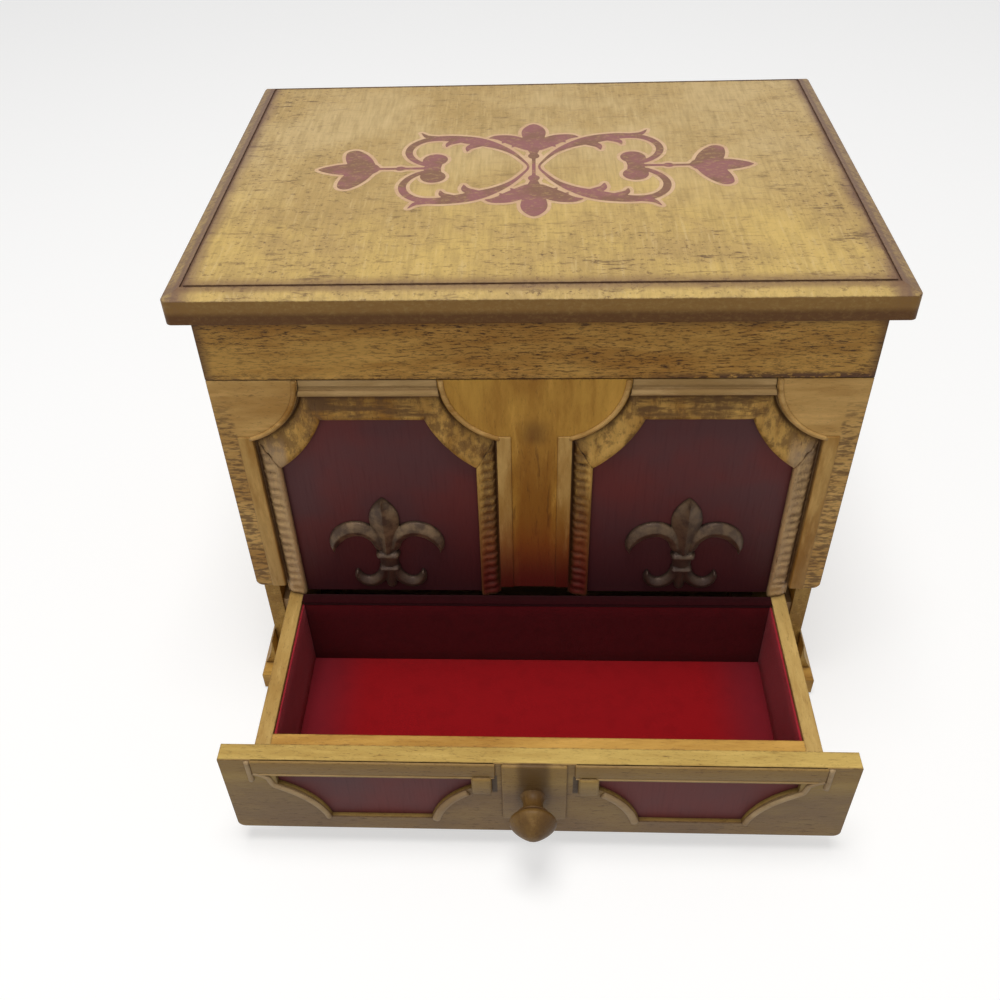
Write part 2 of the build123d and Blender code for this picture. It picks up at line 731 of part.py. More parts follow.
def drawer_box():
    """Inner front, sides with tails, back and plywood bottom."""
    box_front = front_y + drawer_front_t
    inner_front = box_front + drawer_inner_front_t
    in_x = drawer_half_w - drawer_side_t
    back_front = inner_front + drawer_inner_depth
    low = drawer_side_bottom_z
    left = block(-drawer_half_w, -in_x, box_front, drawer_tail_y, low, drawer_top_z)
    peg_y = stop_block_back_y + peg_r + stop_gap + pull
    left -= bar_x(-drawer_half_w - 1, -in_x + 1, peg_y, peg_z, peg_r)
    save("drawer_sides", out(left), out(mirrored(left)))
    inner = block(-in_x, in_x, box_front, inner_front, low, drawer_top_z)
    inner -= bar_y(knob_x, box_front - 1, inner_front + 1, knob_z, knob_screw_r)
    save("drawer_inner_front", out(inner))
    save("drawer_back", out(block(-in_x, in_x, back_front, back_front + drawer_back_t, low, drawer_top_z)))
    ply_top = drawer_ply_z + drawer_ply_t
    save("drawer_bottom", out(block(-in_x, in_x, inner_front, back_front, drawer_ply_z, ply_top)))
    peg = out(bar_x(in_x, peg_out, peg_y, peg_z, peg_r))
    save("drawer_stop_pegs", peg, mirrored(peg))
    return in_x, inner_front, back_front, ply_top


def drawer_felts(in_x, y0, y1, ply_top):
    """Felt on the floor and the four walls of the drawer."""
    top = ply_top + floor_felt_t
    save("drawer_floor_felt", out(block(-in_x, in_x, y0, y1, ply_top, top)))
    left = block(-in_x, -in_x + drawer_felt_t, y0, y1, top, drawer_felt_top_z)
    near = in_x - drawer_felt_t
    front = block(-near, near, y0, y0 + drawer_felt_t, top, drawer_felt_top_z)
    back = block(-near, near, y1 - drawer_felt_t, y1, top, drawer_felt_top_z)
    save("drawer_wall_felt", out(left), out(mirrored(left)), out(front), out(back))


def drawer_knob():
    """Turned wooden knob on a stem that goes through both front boards."""
    profile = [
        Line((0, 0), (4.9, 0)),
        ThreePointArc((4.9, 0), (4.2, 4.5), (5.2, 9.0)),
        Spline((5.2, 9.0), (8.6, 10.9), (9.3, 13.0), (8.0, 15.9), (4.6, 18.3), (0, 19.3), tangents=((1, 0.3), (-1, 0))),
        Line((0, 19.3), (0, 0)),
    ]
    turned = revolve(make_face(profile), Axis.Y)
    knob = Pos(knob_x, front_y, knob_z) * Rot(180, 0, 0) * turned
    stem_back = front_y + drawer_front_t + drawer_inner_front_t
    stem = bar_y(knob_x, front_y, stem_back, knob_z, knob_screw_r)
    save("drawer_knob", out(knob + stem))


def drawer_runners():
    """Runners under the drawer sides and guides beside them, with blocks that stop the pegs."""
    runner = block(runner_in, guide_in, guide_front_y, guide_back_y, bottom_top_z, runner_top_z)
    guide = block(guide_in, inner_half_w, guide_front_y, guide_back_y, bottom_top_z, guide_top_z)
    stop = block(guide_in, inner_half_w, guide_front_y, stop_block_back_y, guide_top_z, stop_block_top_z)
    save("drawer_runners", runner, mirrored(runner), guide, mirrored(guide), stop, mirrored(stop))


# Music movement

def toothed_disc(cx, cz, teeth, root_r, tip_r, y0, y1, root_share, tip_share, phase):
    """A spur wheel with flat-sided teeth. The shares are of the tooth pitch."""
    pitch = 2 * math.pi / teeth
    points = []
    for i in range(teeth):
        middle = i * pitch + phase
        for share, radius in ((-root_share, root_r), (-tip_share, tip_r), (tip_share, tip_r), (root_share, root_r)):
            angle = middle + share * pitch / 2
            points.append((cx + radius * math.cos(angle), cz + radius * math.sin(angle)))
    return along_y(Polyline(*points, close=True), y0, y1)


def bedplate():
    """Bedplate, with holes for the screws that hold it to the bottom board."""
    bed = block(bed_left_x, bed_right_x, bed_front_y, bed_back_y, bottom_top_z, bed_top_z)
    for x, y in bed_screws:
        bed -= bar_z(x, y, bottom_top_z - 1, bed_top_z + 1, screw_r)
    save("music_bedplate", bed)
    return [pan_screw_z(x, y, bed_top_z, bed_screw_depth) for x, y in bed_screws]


def cylinder():
    """Pinned drum, spring barrel and great wheel on one arbor."""
    body = bar_y(axis_x, drum_front_y, drum_back_y, axis_z, drum_r)
    body += bar_y(axis_x, drum_back_y, barrel_front_y, axis_z, drum_r * 0.7)
    body += bar_y(axis_x, barrel_front_y, barrel_back_y, axis_z, barrel_r)
    body += bar_y(axis_x, cheek_front_y - 0.2, drum_front_y, axis_z, front_arbor_r)
    great_r = module * great_teeth / 2
    body += toothed_disc(
        axis_x, axis_z, great_teeth, great_r - 0.55, great_r + 0.32,
        wheel_front_y, wheel_front_y + wheel_t, 0.5, 0.28, 0.0)
    pins = []
    for i in range(drum_pins):
        y = drum_front_y + 1.2 + (drum_back_y - drum_front_y - 2.4) * ((i * 7) % comb_teeth) / (comb_teeth - 1)
        pin = Pos(0, 0, drum_r + drum_pin_h / 2 - 0.2) * Cylinder(drum_pin_r, drum_pin_h + 0.4)
        pins.append(Pos(axis_x, y, axis_z) * Rot(0, i * 360 / drum_pins, 0) * pin)
    body = body + pins
    body -= bar_y(axis_x, barrel_back_y - 9, barrel_back_y + 1, axis_z, spring_arbor_r + running)
    save("music_cylinder", body)


def uprights():
    """Uprights on the bedplate, for the drum's front end, the spring arbor and the stop lever."""
    cheek_back_y = cheek_front_y + upright_t
    front = block(axis_x - 6, axis_x + 5, cheek_front_y, cheek_back_y, bed_top_z, axis_z + 5)
    front -= bar_y(axis_x, cheek_front_y - 1, cheek_back_y + 1, axis_z, front_arbor_r + running)
    far_y = back_upright_y + upright_t
    back = block(axis_x - 9, axis_x + 9, back_upright_y, far_y, bed_top_z, axis_z + 8)
    back -= bar_y(axis_x, back_upright_y - 1, far_y + 1, axis_z, spring_arbor_r + running)
    near_x = lever_x - lever_t / 2 - 0.4
    post = block(near_x - 2.9, near_x, lever_pivot_y - 3, lever_pivot_y + 3, bed_top_z, lever_z + 4)
    post += bar_x(near_x, lever_x + lever_t / 2 + 0.4, lever_pivot_y, lever_z, lever_pin_r)
    save("movement_uprights", front, back, post)


def comb():
    """Steel comb on its block, with a gap to the drum's pins."""
    y0, y1 = drum_front_y + 0.5, drum_back_y - 0.5
    tip_x = axis_x - drum_r - drum_pin_h - 0.5
    low = axis_z - comb_t / 2
    steel = block(comb_left_x, tip_x, y0, y1, low, low + comb_t)
    pitch = (y1 - y0) / comb_teeth
    slit = 0.4
    for i in range(1, comb_teeth):
        y = y0 + i * pitch
        steel -= block(comb_root_x, tip_x + 1, y - slit / 2, y + slit / 2, low - 1, low + comb_t + 1)
    holder = block(comb_left_x, comb_root_x, y0, y1, bed_top_z, low)
    screws = []
    for y in (y0 + 4, y1 - 4):
        x = (comb_left_x + comb_root_x) / 2
        steel -= bar_z(x, y, low - 1, low + comb_t + 1, screw_r)
        holder -= bar_z(x, y, low - 5, low + 1, screw_r)
        screws.append(pan_screw_z(x, y, low + comb_t, comb_t + 5))
    save("music_comb", steel)
    save("comb_block", holder)
    return screws


def governor():
    """Pinion and wheel on one arbor, and the frame that carries them and the fly."""
    pinion_r = module * pinion_teeth / 2
    to_drum = math.atan2(axis_z - governor_z, axis_x - governor_x)
    great_phase = math.atan2(governor_z - axis_z, governor_x - axis_x)
    pitch_steps = great_phase / (2 * math.pi / great_teeth)
    offset = (pitch_steps - round(pitch_steps)) * 2 * math.pi / great_teeth
    half_pitch = math.pi / pinion_teeth
    phase = to_drum + half_pitch + offset * great_teeth / pinion_teeth
    arbor = bar_y(governor_x, governor_arbor_front_y, governor_arbor_back_y, governor_z, governor_arbor_r)
    arbor += toothed_disc(
        governor_x, governor_z, pinion_teeth, pinion_r - 0.55, pinion_r + 0.28,
        wheel_front_y - 0.2, wheel_front_y + wheel_t + 0.2, 0.42, 0.2, phase)
    arbor += toothed_disc(
        governor_x, governor_z, governor_teeth, governor_wheel_r - 0.8, governor_wheel_r,
        fly_y - 0.5, fly_y + 0.5, 0.5, 0.25, 0.0)
    save("governor_wheel", arbor)
    top = governor_z + 5
    frame = []
    for y in (cheek_front_y, frame_back_y):
        cheek = block(governor_x - 4, governor_x + 8, y, y + frame_t, bed_top_z, top)
        frame.append(cheek - bar_y(governor_x, y - 1, y + 3, governor_z, governor_arbor_r + running))
    half = 2.5
    step = block(fly_x - half, fly_x + half, fly_y - half, fly_y + half, bed_top_z, fly_step_z)
    frame.append(step - bar_z(fly_x, fly_y, fly_step_z - 2, fly_step_z + 1, fly_shaft_r + running))
    arm_z = bridge_top_z - frame_t
    post_x = fly_x + fly_r + 2
    bridge = block(post_x, post_x + half, fly_y - half, fly_y + half, bed_top_z, bridge_top_z)
    bridge += block(fly_x - half, post_x, fly_y - half, fly_y + half, arm_z, bridge_top_z)
    frame.append(bridge - bar_z(fly_x, fly_y, arm_z - 1, bridge_top_z + 1, fly_shaft_r + running))
    save("governor_frame", *frame)


def fly():
    """Air brake: a worm and two blades on an upright shaft."""
    body = bar_z(fly_x, fly_y, fly_step_z - 1.7, bridge_top_z - 0.3, fly_shaft_r)
    body += bar_z(fly_x, fly_y, governor_z - worm_half, governor_z + worm_half, worm_r)
    body += block(fly_x - fly_r, fly_x + fly_r, fly_y - 0.3, fly_y + 0.3, fly_low_z, fly_high_z)
    save("air_brake_fly", body)


def stop_work():
    """Lever that frees the fly, and the rod that the closed lid holds down."""
    half_t = lever_t / 2
    half_h = 1.5
    lever = block(lever_x - half_t, lever_x + half_t, lever_tip_y, rod_y + 1.2, lever_z - half_h, lever_z + half_h)
    lever += bar_x(lever_x - half_t, lever_x + half_t, lever_pivot_y, lever_z, 3.0)
    lever -= bar_x(lever_x - 2, lever_x + 2, lever_pivot_y, lever_z, lever_pin_r + running)
    save("stop_lever", lever)
    rod_top = seam_z + 0.1
    save("stop_rod", bar_z(lever_x, rod_y, lever_z + half_h + rod_gap, rod_top, rod_r))
    guide_high = rod_guide_z + rod_guide_h
    guide = block(lever_x - 5, lever_x + 5, rod_guide_y, back_inner_y, rod_guide_z, guide_high)
    guide -= bar_z(lever_x, rod_y, rod_guide_z - 1, guide_high + 1, rod_r + running)
    save("stop_rod_guide", guide)


def winding_key():
    """Spring arbor through the back panel, with a two-winged key on its end."""
    arbor = bar_y(axis_x, barrel_back_y - 8, key_back_y - 2, axis_z, spring_arbor_r)
    save("spring_arbor", arbor)
    hub = bar_y(axis_x, key_front_y, key_back_y, axis_z, key_hub_r)
    wing_y = key_back_y - 3.0
    wings = flat_rect(axis_x - 8, axis_x + 8, axis_z - 2, axis_z + 2)
    for side in (-1, 1):
        wings += Pos(axis_x + side * 11, axis_z) * Ellipse(7.5, 6.0)
    eyes = flat_circle(axis_x - 12, axis_z, 2.6) + flat_circle(axis_x + 12, axis_z, 2.6)
    key = hub + plate(wings - eyes, wing_y - 1.0, wing_y + 1.0)
    key -= bar_y(axis_x, key_front_y - 1, key_back_y - 2, axis_z, spring_arbor_r)
    save("winding_key", key)


case_sides()
case_back()
case_bottom()
compartment_boards()
base_mouldings()
front_stiles()
recess_panels()
fleurs()
lid_board()
lid_rails()
lid_mirror()
hinges()
lid_stay()
linings()
ring_tray()
drawer_front()
drawer_felts(*drawer_box())
drawer_knob()
drawer_runners()
save("movement_screws", *bedplate(), *comb())
cylinder()
uprights()
governor()
fly()
stop_work()
winding_key()
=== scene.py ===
import math
from contextlib import contextmanager

import bmesh
import bpy
import numpy as np
from mathutils import Matrix, Vector, noise


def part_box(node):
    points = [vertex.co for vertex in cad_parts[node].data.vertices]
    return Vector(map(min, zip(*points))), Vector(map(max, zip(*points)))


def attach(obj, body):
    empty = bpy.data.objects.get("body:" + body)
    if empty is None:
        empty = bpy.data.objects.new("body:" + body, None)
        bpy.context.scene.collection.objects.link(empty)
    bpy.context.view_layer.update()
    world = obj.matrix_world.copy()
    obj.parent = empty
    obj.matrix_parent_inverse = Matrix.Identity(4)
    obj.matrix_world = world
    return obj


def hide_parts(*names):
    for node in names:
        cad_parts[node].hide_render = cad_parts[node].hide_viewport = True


# Musical jewelry box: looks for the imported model. Lengths here are in millimetres unless they end in _m.

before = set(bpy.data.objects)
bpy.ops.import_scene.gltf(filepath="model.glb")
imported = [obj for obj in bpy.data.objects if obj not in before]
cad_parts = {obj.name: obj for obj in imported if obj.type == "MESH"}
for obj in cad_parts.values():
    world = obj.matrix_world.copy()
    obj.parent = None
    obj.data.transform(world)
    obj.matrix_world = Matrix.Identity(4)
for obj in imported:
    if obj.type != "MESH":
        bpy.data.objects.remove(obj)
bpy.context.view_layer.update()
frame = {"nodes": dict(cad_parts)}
nodes = frame["nodes"]
MM = 0.001

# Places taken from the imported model
pull = 85.15
front_y = -93.0
drawer_face_y = front_y - pull
lid_top_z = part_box("lid_top_board")[1].z / MM
seam_z = 184.5
panel_x = 63.4
recess_half = 48.5
spandrel_r = 31.75
spandrel_offset = 58.4
top_mould_z = 177.2
red_half = 39.9
red_side_z = 138.8
red_top_z = 164.2
red_y = -90.0
panel_bottom_z = 62.7
stile_bottom_z = 68.9
knob_x = -0.8
knob_z = 41.0
sides = (("left", -1), ("right", 1))


# Small helpers

def add_object(name, data):
    """An object in the scene around a mesh, a light or a camera."""
    built = bpy.data.objects.new(name, data)
    bpy.context.scene.collection.objects.link(built)
    return built


def mesh_object(name, verts, faces):
    """A smooth mesh object from points in millimetres."""
    mesh = bpy.data.meshes.new(name)
    mesh.from_pydata([Vector(v) * MM for v in verts], [], faces)
    mesh.update()
    mesh.shade_smooth()
    return add_object(name, mesh)


def worked_object(name, work):
    """A mesh object from a bmesh, which is used up."""
    mesh = bpy.data.meshes.new(name)
    work.to_mesh(mesh)
    work.free()
    return add_object(name, mesh)


@contextmanager
def reworked(piece):
    """A piece's mesh, open for changes that are written back at the end."""
    work = bmesh.new()
    work.from_mesh(piece.data)
    yield work
    work.to_mesh(piece.data)
    work.free()


def tidy_normals(piece):
    """Make the faces point outwards."""
    with reworked(piece) as work:
        bmesh.ops.recalc_face_normals(work, faces=work.faces)
    return piece


def set_sharp(piece, degrees):
    """Keep edges sharper than the angle crisp, the rest smooth."""
    piece.data.shade_smooth()
    with reworked(piece) as work:
        for edge in work.edges:
            if len(edge.link_faces) == 2:
                edge.smooth = edge.calc_face_angle(0.0) < math.radians(degrees)
    return piece


def closed_solid(name, verts, faces, degrees):
    """A closed mesh object that is crisp at edges sharper than the angle."""
    return set_sharp(tidy_normals(mesh_object(name, verts, faces)), degrees)


def dress(piece, material):
    """Give a piece one material."""
    piece.data.materials.clear()
    piece.data.materials.append(material)


def tube_faces(rings, n, flip=False):
    """Quads between neighbouring rings of n points, and a face over each end."""
    faces = [
        ((k - 1) * n + j, (k - 1) * n + (j + 1) % n, k * n + (j + 1) % n, k * n + j)
        for k in range(1, rings) for j in range(n)
    ]
    first, last = tuple(range(n)), tuple(range((rings - 1) * n, rings * n))
    return faces + ([first[::-1], last] if flip else [first, last[::-1]])


def smooth_run(points, steps):
    """Points on a smooth curve through control points of any size, steps to a span."""
    p = [np.array(q, float) for q in points]
    p = [2 * p[0] - p[1]] + p + [2 * p[-1] - p[-2]]
    run = []
    for i in range(1, len(p) - 2):
        for k in range(steps):
            t = k / steps
            a = 2 * p[i]
            b = (p[i + 1] - p[i - 1]) * t
            c = (2 * p[i - 1] - 5 * p[i] + 4 * p[i + 1] - p[i + 2]) * t * t
            d = (3 * p[i] - p[i - 1] - 3 * p[i + 1] + p[i + 2]) * t ** 3
            run.append((a + b + c + d) / 2)
    run.append(p[-2])
    return run


# Drawn shapes: each is a set of tapered strokes, merged, and then cut out or raised

def stroke_parts(strokes):
    """Split strokes of (u, v, radius) points into short straight parts."""
    parts = []
    for stroke in strokes:
        run = smooth_run(stroke, 6) if len(stroke) > 2 else [np.array(q, float) for q in stroke]
        parts += list(zip(run[:-1], run[1:]))
    return parts


def from_part(part, grid_u, grid_v):
    """Every grid point's distance from the middle line of a stroke part, and the part's radius there."""
    a, b = part
    along = b[:2] - a[:2]
    length = max(float(along @ along), 1e-9)
    t = np.clip(((grid_u - a[0]) * along[0] + (grid_v - a[1]) * along[1]) / length, 0, 1)
    away = np.hypot(grid_u - a[0] - t * along[0], grid_v - a[1] - t * along[1])
    return away, a[2] + t * (b[2] - a[2])


def distance_field(parts, us, vs):
    """Signed distance from every grid point to the nearest stroke edge, negative inside."""
    grid = np.meshgrid(us, vs, indexing="ij")
    field = np.full(grid[0].shape, 1e3)
    for part in parts:
        away, radius = from_part(part, *grid)
        field = np.minimum(field, away - radius)
    return field


def relief_field(parts, heights, us, vs):
    """Height of rounded strokes over a grid. heights has one (height, ridge) pair for each part."""
    grid = np.meshgrid(us, vs, indexing="ij")
    field = np.zeros(grid[0].shape)
    for part, (height, ridge) in zip(parts, heights):
        away, radius = from_part(part, *grid)
        share = np.clip(away / np.maximum(radius, 1e-3), 0, 1)
        dome = (1 - ridge) * np.sqrt(1 - share ** 2) + ridge * (1 - share)
        field = np.maximum(field, height * dome)
    return field


def cut_region(field, us, vs, level):
    """Polygons over the grid cells where field is below level, cut clean along the level."""
    verts, index, faces = [], {}, []

    def corner(i, j):
        key = (i, j)
        if key not in index:
            index[key] = len(verts)
            verts.append((us[i], vs[j], i, j, 1.0))
        return index[key]

    def crossing(i, j, k, m):
        key = (i, j, k, m) if (i, j) < (k, m) else (k, m, i, j)
        if key not in index:
            f0, f1 = field[i, j] - level, field[k, m] - level
            t = f0 / (f0 - f1)
            index[key] = len(verts)
            verts.append((us[i] + t * (us[k] - us[i]), vs[j] + t * (vs[m] - vs[j]), i, j, 0.0))
        return index[key]

    inside = field < level
    some = inside[:-1, :-1] | inside[1:, :-1] | inside[1:, 1:] | inside[:-1, 1:]
    for i, j in zip(*np.nonzero(some)):
        ring = [(i, j), (i + 1, j), (i + 1, j + 1), (i, j + 1)]
        face = []
        for n in range(4):
            here, there = ring[n], ring[(n + 1) % 4]
            if inside[here]:
                face.append(corner(*here))
            if inside[here] != inside[there]:
                face.append(crossing(*here, *there))
        if len(face) > 2:
            faces.append(tuple(face))
    return verts, faces


def mirrored_strokes(strokes, flips):
    """Strokes repeated with each pair of signs."""
    return [[(u * fu, v * fv, r) for u, v, r in stroke] for fu, fv in flips for stroke in strokes]


# Materials

class Value:
    """A number that varies over a surface. Arithmetic on it adds nodes to its tree."""

    def __init__(self, nodes, socket):
        self.nodes = nodes
        self.socket = socket

    def __add__(self, other):
        return self.nodes.math("ADD", self, other)

    def __sub__(self, other):
        return self.nodes.math("SUBTRACT", self, other)

    def __rsub__(self, other):
        return self.nodes.math("SUBTRACT", other, self)

    def __mul__(self, other):
        return self.nodes.math("MULTIPLY", self, other)

    def __abs__(self):
        return self.nodes.math("ABSOLUTE", self)

    def ramp(self, start, end):
        """0 at start, 1 at end, smooth between."""
        node = self.nodes.add(
            "ShaderNodeMapRange", {"Value": self, "From Min": start, "From Max": end}, interpolation_type="SMOOTHSTEP")
        return Value(self.nodes, node.outputs["Result"])


class Nodes:
    """Short names for building the node tree of a material or a world."""

    def __init__(self, owner):
        owner.use_nodes = True
        self.tree = owner.node_tree
        self.tree.nodes.clear()

    def add(self, kind, inputs=None, **settings):
        """A node with its own settings, and values or links for its inputs."""
        node = self.tree.nodes.new(kind)
        for key, value in settings.items():
            setattr(node, key, value)
        for key, value in (inputs or {}).items():
            self.wire(value, node.inputs[key])
        return node

    def wire(self, source, target):
        """Give an input a number, a colour, a vector or a link."""
        if isinstance(source, Value):
            source = source.socket
        if isinstance(source, tuple) and target.type == "RGBA":
            target.default_value = (*source, 1.0)
        elif isinstance(source, (int, float, tuple)):
            target.default_value = source
        else:
            self.tree.links.new(source, target)

    def math(self, operation, a, b=0.0):
        return Value(self, self.add("ShaderNodeMath", {0: a, 1: b}, operation=operation).outputs[0])

    def seen(self):
        """1 where the camera sees a point, itself or in gloss or through glass, 0 for the light that it gives."""
        path = self.add("ShaderNodeLightPath").outputs
        straight_on = self.math("MAXIMUM", path["Is Camera Ray"], path["Is Transmission Ray"])
        return self.math("MAXIMUM", straight_on, path["Is Glossy Ray"])


class Paint(Nodes):
    """One node material round a Principled shader."""

    def __init__(self, name, rough=0.5, metal=0.0, coat=0.0, sheen=0.0, specular=0.5):
        self.material = bpy.data.materials.new(name)
        super().__init__(self.material)
        self.shader = self.add("ShaderNodeBsdfPrincipled", {
            "Roughness": rough, "Metallic": metal, "Coat Weight": coat, "Coat Roughness": 0.25,
            "Sheen Weight": sheen, "Specular IOR Level": specular,
        })
        self.add("ShaderNodeOutputMaterial", {"Surface": self.shader.outputs[0]})
        self.place = self.add("ShaderNodeTexCoord").outputs["Object"]
        axes = self.add("ShaderNodeSeparateXYZ", {0: self.place}).outputs
        self.x, self.y, self.z = (Value(self, axes[axis]) for axis in "XYZ")

    def noise(self, scale, stretch=(1, 1, 1), detail=4.0, rough=0.55, distortion=0.0):
        """Noise over the object. scale is in bumps per metre, and stretch multiplies it per axis."""
        mapping = self.add("ShaderNodeMapping", {"Vector": self.place, "Scale": stretch})
        texture = self.add("ShaderNodeTexNoise", {
            "Vector": mapping.outputs[0], "Scale": scale, "Detail": detail, "Roughness": rough,
            "Distortion": distortion,
        })
        return Value(self, texture.outputs["Fac"])

    def wander(self, scale, stretch, reach_m, detail=4.0):
        """A signed distance that varies, for stains with uneven borders."""
        return (self.noise(scale, stretch, detail) - 0.5) * reach_m

    def mix(self, share, a, b):
        """Colour a where share is 0, b where it is 1."""
        return self.add("ShaderNodeMix", {0: share, 6: a, 7: b}, data_type="RGBA").outputs[2]

    def layers(self, base, *layers):
        """Lay (share, colour) pairs over a colour, one after another."""
        for share, colour in layers:
            base = self.mix(share, base, colour)
        return base

    def hollows(self, reach_m):
        """1 in corners and hollows, 0 in the open."""
        node = self.add("ShaderNodeAmbientOcclusion", {"Distance": reach_m}, samples=8)
        return 1.0 - Value(self, node.outputs["AO"])

    def rounded(self, radius_m):
        """The surface's normal with sharp edges rounded off."""
        return self.add("ShaderNodeBevel", {"Radius": radius_m}, samples=6).outputs[0]

    def edges(self, radius_m):
        """1 at sharp edges, 0 on flat faces."""
        plain = self.add("ShaderNodeNewGeometry").outputs["True Normal"]
        dot = self.add("ShaderNodeVectorMath", {0: self.rounded(radius_m), 1: plain}, operation="DOT_PRODUCT")
        return (1.0 - Value(self, dot.outputs["Value"])).ramp(0.005, 0.12)

    def finished(self, base, height=None, distance_m=0.0, strength=1.0, soften_m=0.0):
        """The material in a colour, raised by height times distance. soften_m rounds off sharp edges."""
        self.wire(base, self.shader.inputs["Base Color"])
        if height is not None:
            raised = {"Strength": strength, "Distance": distance_m, "Height": height}
            if soften_m:
                raised["Normal"] = self.rounded(soften_m)
            self.wire(self.add("ShaderNodeBump", raised).outputs[0], self.shader.inputs["Normal"])
        return self.material


def stretched(axis, share):
    """Noise scale per axis for marks that run along one axis."""
    return tuple(share if name == axis else 1.0 for name in "XYZ")


def gold_wood(
        name, grain="X", glaze=0.5, worn=0.4, light=(0.57, 0.32, 0.068), middle=(0.36, 0.164, 0.024),
        hollow_glaze_and_shade=0.75, stain=None, fleck_scale=900.0):
    """Antique gold paint over wood: short dashes of glaze, brown glaze and painted shade in the hollows, rubbed edges.
    """
    paint = Paint(name, rough=0.52, coat=0.03, specular=0.22)
    flecks = paint.noise(fleck_scale, stretched(grain, 0.17), rough=0.75)
    short = paint.noise(1500, stretched(grain, 0.3), detail=3.0, rough=0.7)
    clouds = paint.noise(38, stretched(grain, 0.3), detail=5.0, rough=0.62)
    streaks = paint.noise(230, stretched(grain, 0.17), detail=5.0, rough=0.65)
    dark = (0.072, 0.03, 0.009)
    base = paint.layers(
        light,
        (clouds.ramp(0.38, 0.68), middle),
        (streaks.ramp(0.48, 0.72) * 0.6, middle),
        (streaks.ramp(0.48, 0.3) * 0.45, tuple(min(1.0, c * 1.25 + 0.015) for c in light)),
    )
    # The stain layers can also hold painted light and shade, such as at the foot of the centre post.
    if stain:
        base = stain(paint, base)
    patches = clouds.ramp(0.32, 0.6) * 0.65 + 0.35
    base = paint.layers(
        base,
        (flecks.ramp(0.66 - 0.16 * glaze, 0.76 - 0.14 * glaze) * patches * min(1.0, glaze + 0.15), dark),
        (short.ramp(0.55, 0.7) * patches * (glaze * 0.8), dark),
        # Hollows darkened by occlusion: partly brown glaze, partly painted shade.
        (paint.hollows(0.0045).ramp(0.12, 0.58) * hollow_glaze_and_shade, dark),
        (paint.edges(0.0011) * short.ramp(0.42, 0.58) * worn, (0.07, 0.03, 0.018)),
    )
    return paint.finished(base, flecks * -0.9 + short * -0.35, 0.00022, soften_m=0.0005)


# Stains, and painted light and shade: their ramps are places along the part's axes, in metres, and each layer is a
# share and a colour

def foot_glaze_and_painted_light(paint, base):
    """Reddish brown glaze with painted red bounce light from the drawer's felt and painted shade, deepening towards
    the foot of the centre post.
    """
    near = abs(paint.x).ramp(0.0255, 0.0215)
    return paint.layers(
        base,
        # Painted red bounce light over the glaze, then darker glaze and painted shade lowest down.
        (near * paint.z.ramp(0.124, 0.084) * 0.7, (0.235, 0.042, 0.012)),
        (near * paint.z.ramp(0.101, 0.072) * 0.92, (0.105, 0.01, 0.009)),
    )


def post_stain_and_painted_light(paint, base):
    """Orange-brown glaze down the middle of the centre post, streaks, a smudge above, and glaze with painted bounce
    light and shade at its foot.
    """
    across = abs(paint.x)
    wander = paint.wander(70, (1, 1, 0.4), 0.009)
    middle = (across + wander).ramp(0.0098, 0.005) * (paint.z + wander).ramp(0.166, 0.12)
    streak = paint.noise(420, (1, 1, 0.1), rough=0.7).ramp(0.54, 0.66) * paint.z.ramp(0.16, 0.15)
    smudge = across.ramp(0.0085, 0.0) * paint.z.ramp(0.15, 0.156) * paint.z.ramp(0.168, 0.159)
    base = paint.layers(base, (middle * 0.82, (0.27, 0.092, 0.008)), (streak * 0.55, (0.12, 0.046, 0.008)))
    # Glaze with painted bounce light and painted shade at the post's foot.
    return paint.mix(smudge * 0.55, foot_glaze_and_painted_light(paint, base), (0.12, 0.045, 0.01))


def stile_stain(paint, base):
    """Rows of short dark distress marks along the outer edge of each stile."""
    outer = (abs(paint.x) + paint.wander(260, (1, 1, 1), 0.004)).ramp(0.1168, 0.1188)
    marks = paint.noise(560, (0.3, 1, 1), detail=3.0, rough=0.6).ramp(0.43, 0.6)
    return paint.mix(outer * (paint.z.ramp(0.18, 0.16) * marks) * 0.72, base, (0.105, 0.048, 0.018))


def moulding_stain_and_painted_light(paint, base):
    """Brown glaze along the top of each arch and down its inner side, paler paint on its outer side, and glaze with
    painted light near the post's foot.
    """
    reach = abs(paint.x)
    across = abs(reach - panel_x * MM)
    level = paint.noise(300, (0.2, 1, 1), detail=5.0, rough=0.65)
    top = across.ramp(0.027, 0.0235) * paint.z.ramp(0.1655, 0.1675) * level.ramp(0.38, 0.58)
    smear = paint.z.ramp(0.14, 0.148) * paint.noise(210, (1, 1, 0.6), detail=5.0, rough=0.7).ramp(0.44, 0.6)
    low = paint.z.ramp(0.158, 0.146)
    blotch = paint.noise(420, (1, 1, 0.8), rough=0.6).ramp(0.34, 0.52)
    side = (across + paint.wander(300, (1, 1, 1), 0.0035)).ramp(0.0408, 0.0432) * low * (blotch * 0.5 + 0.1)
    inner = reach.ramp(0.05, 0.04)
    base = paint.layers(
        base,
        (top * 0.88, (0.115, 0.052, 0.016)),
        (smear * 0.72, (0.165, 0.078, 0.022)),
        (side * inner, (0.14, 0.062, 0.024)),
        (reach.ramp(0.0985, 0.1015) * low * 0.5, (0.54, 0.4, 0.27)),
        (inner * paint.z.ramp(0.142, 0.104) * 0.5, (0.095, 0.032, 0.018)),
    )
    # Glaze with painted bounce light and painted shade near the post's foot.
    return foot_glaze_and_painted_light(paint, base)


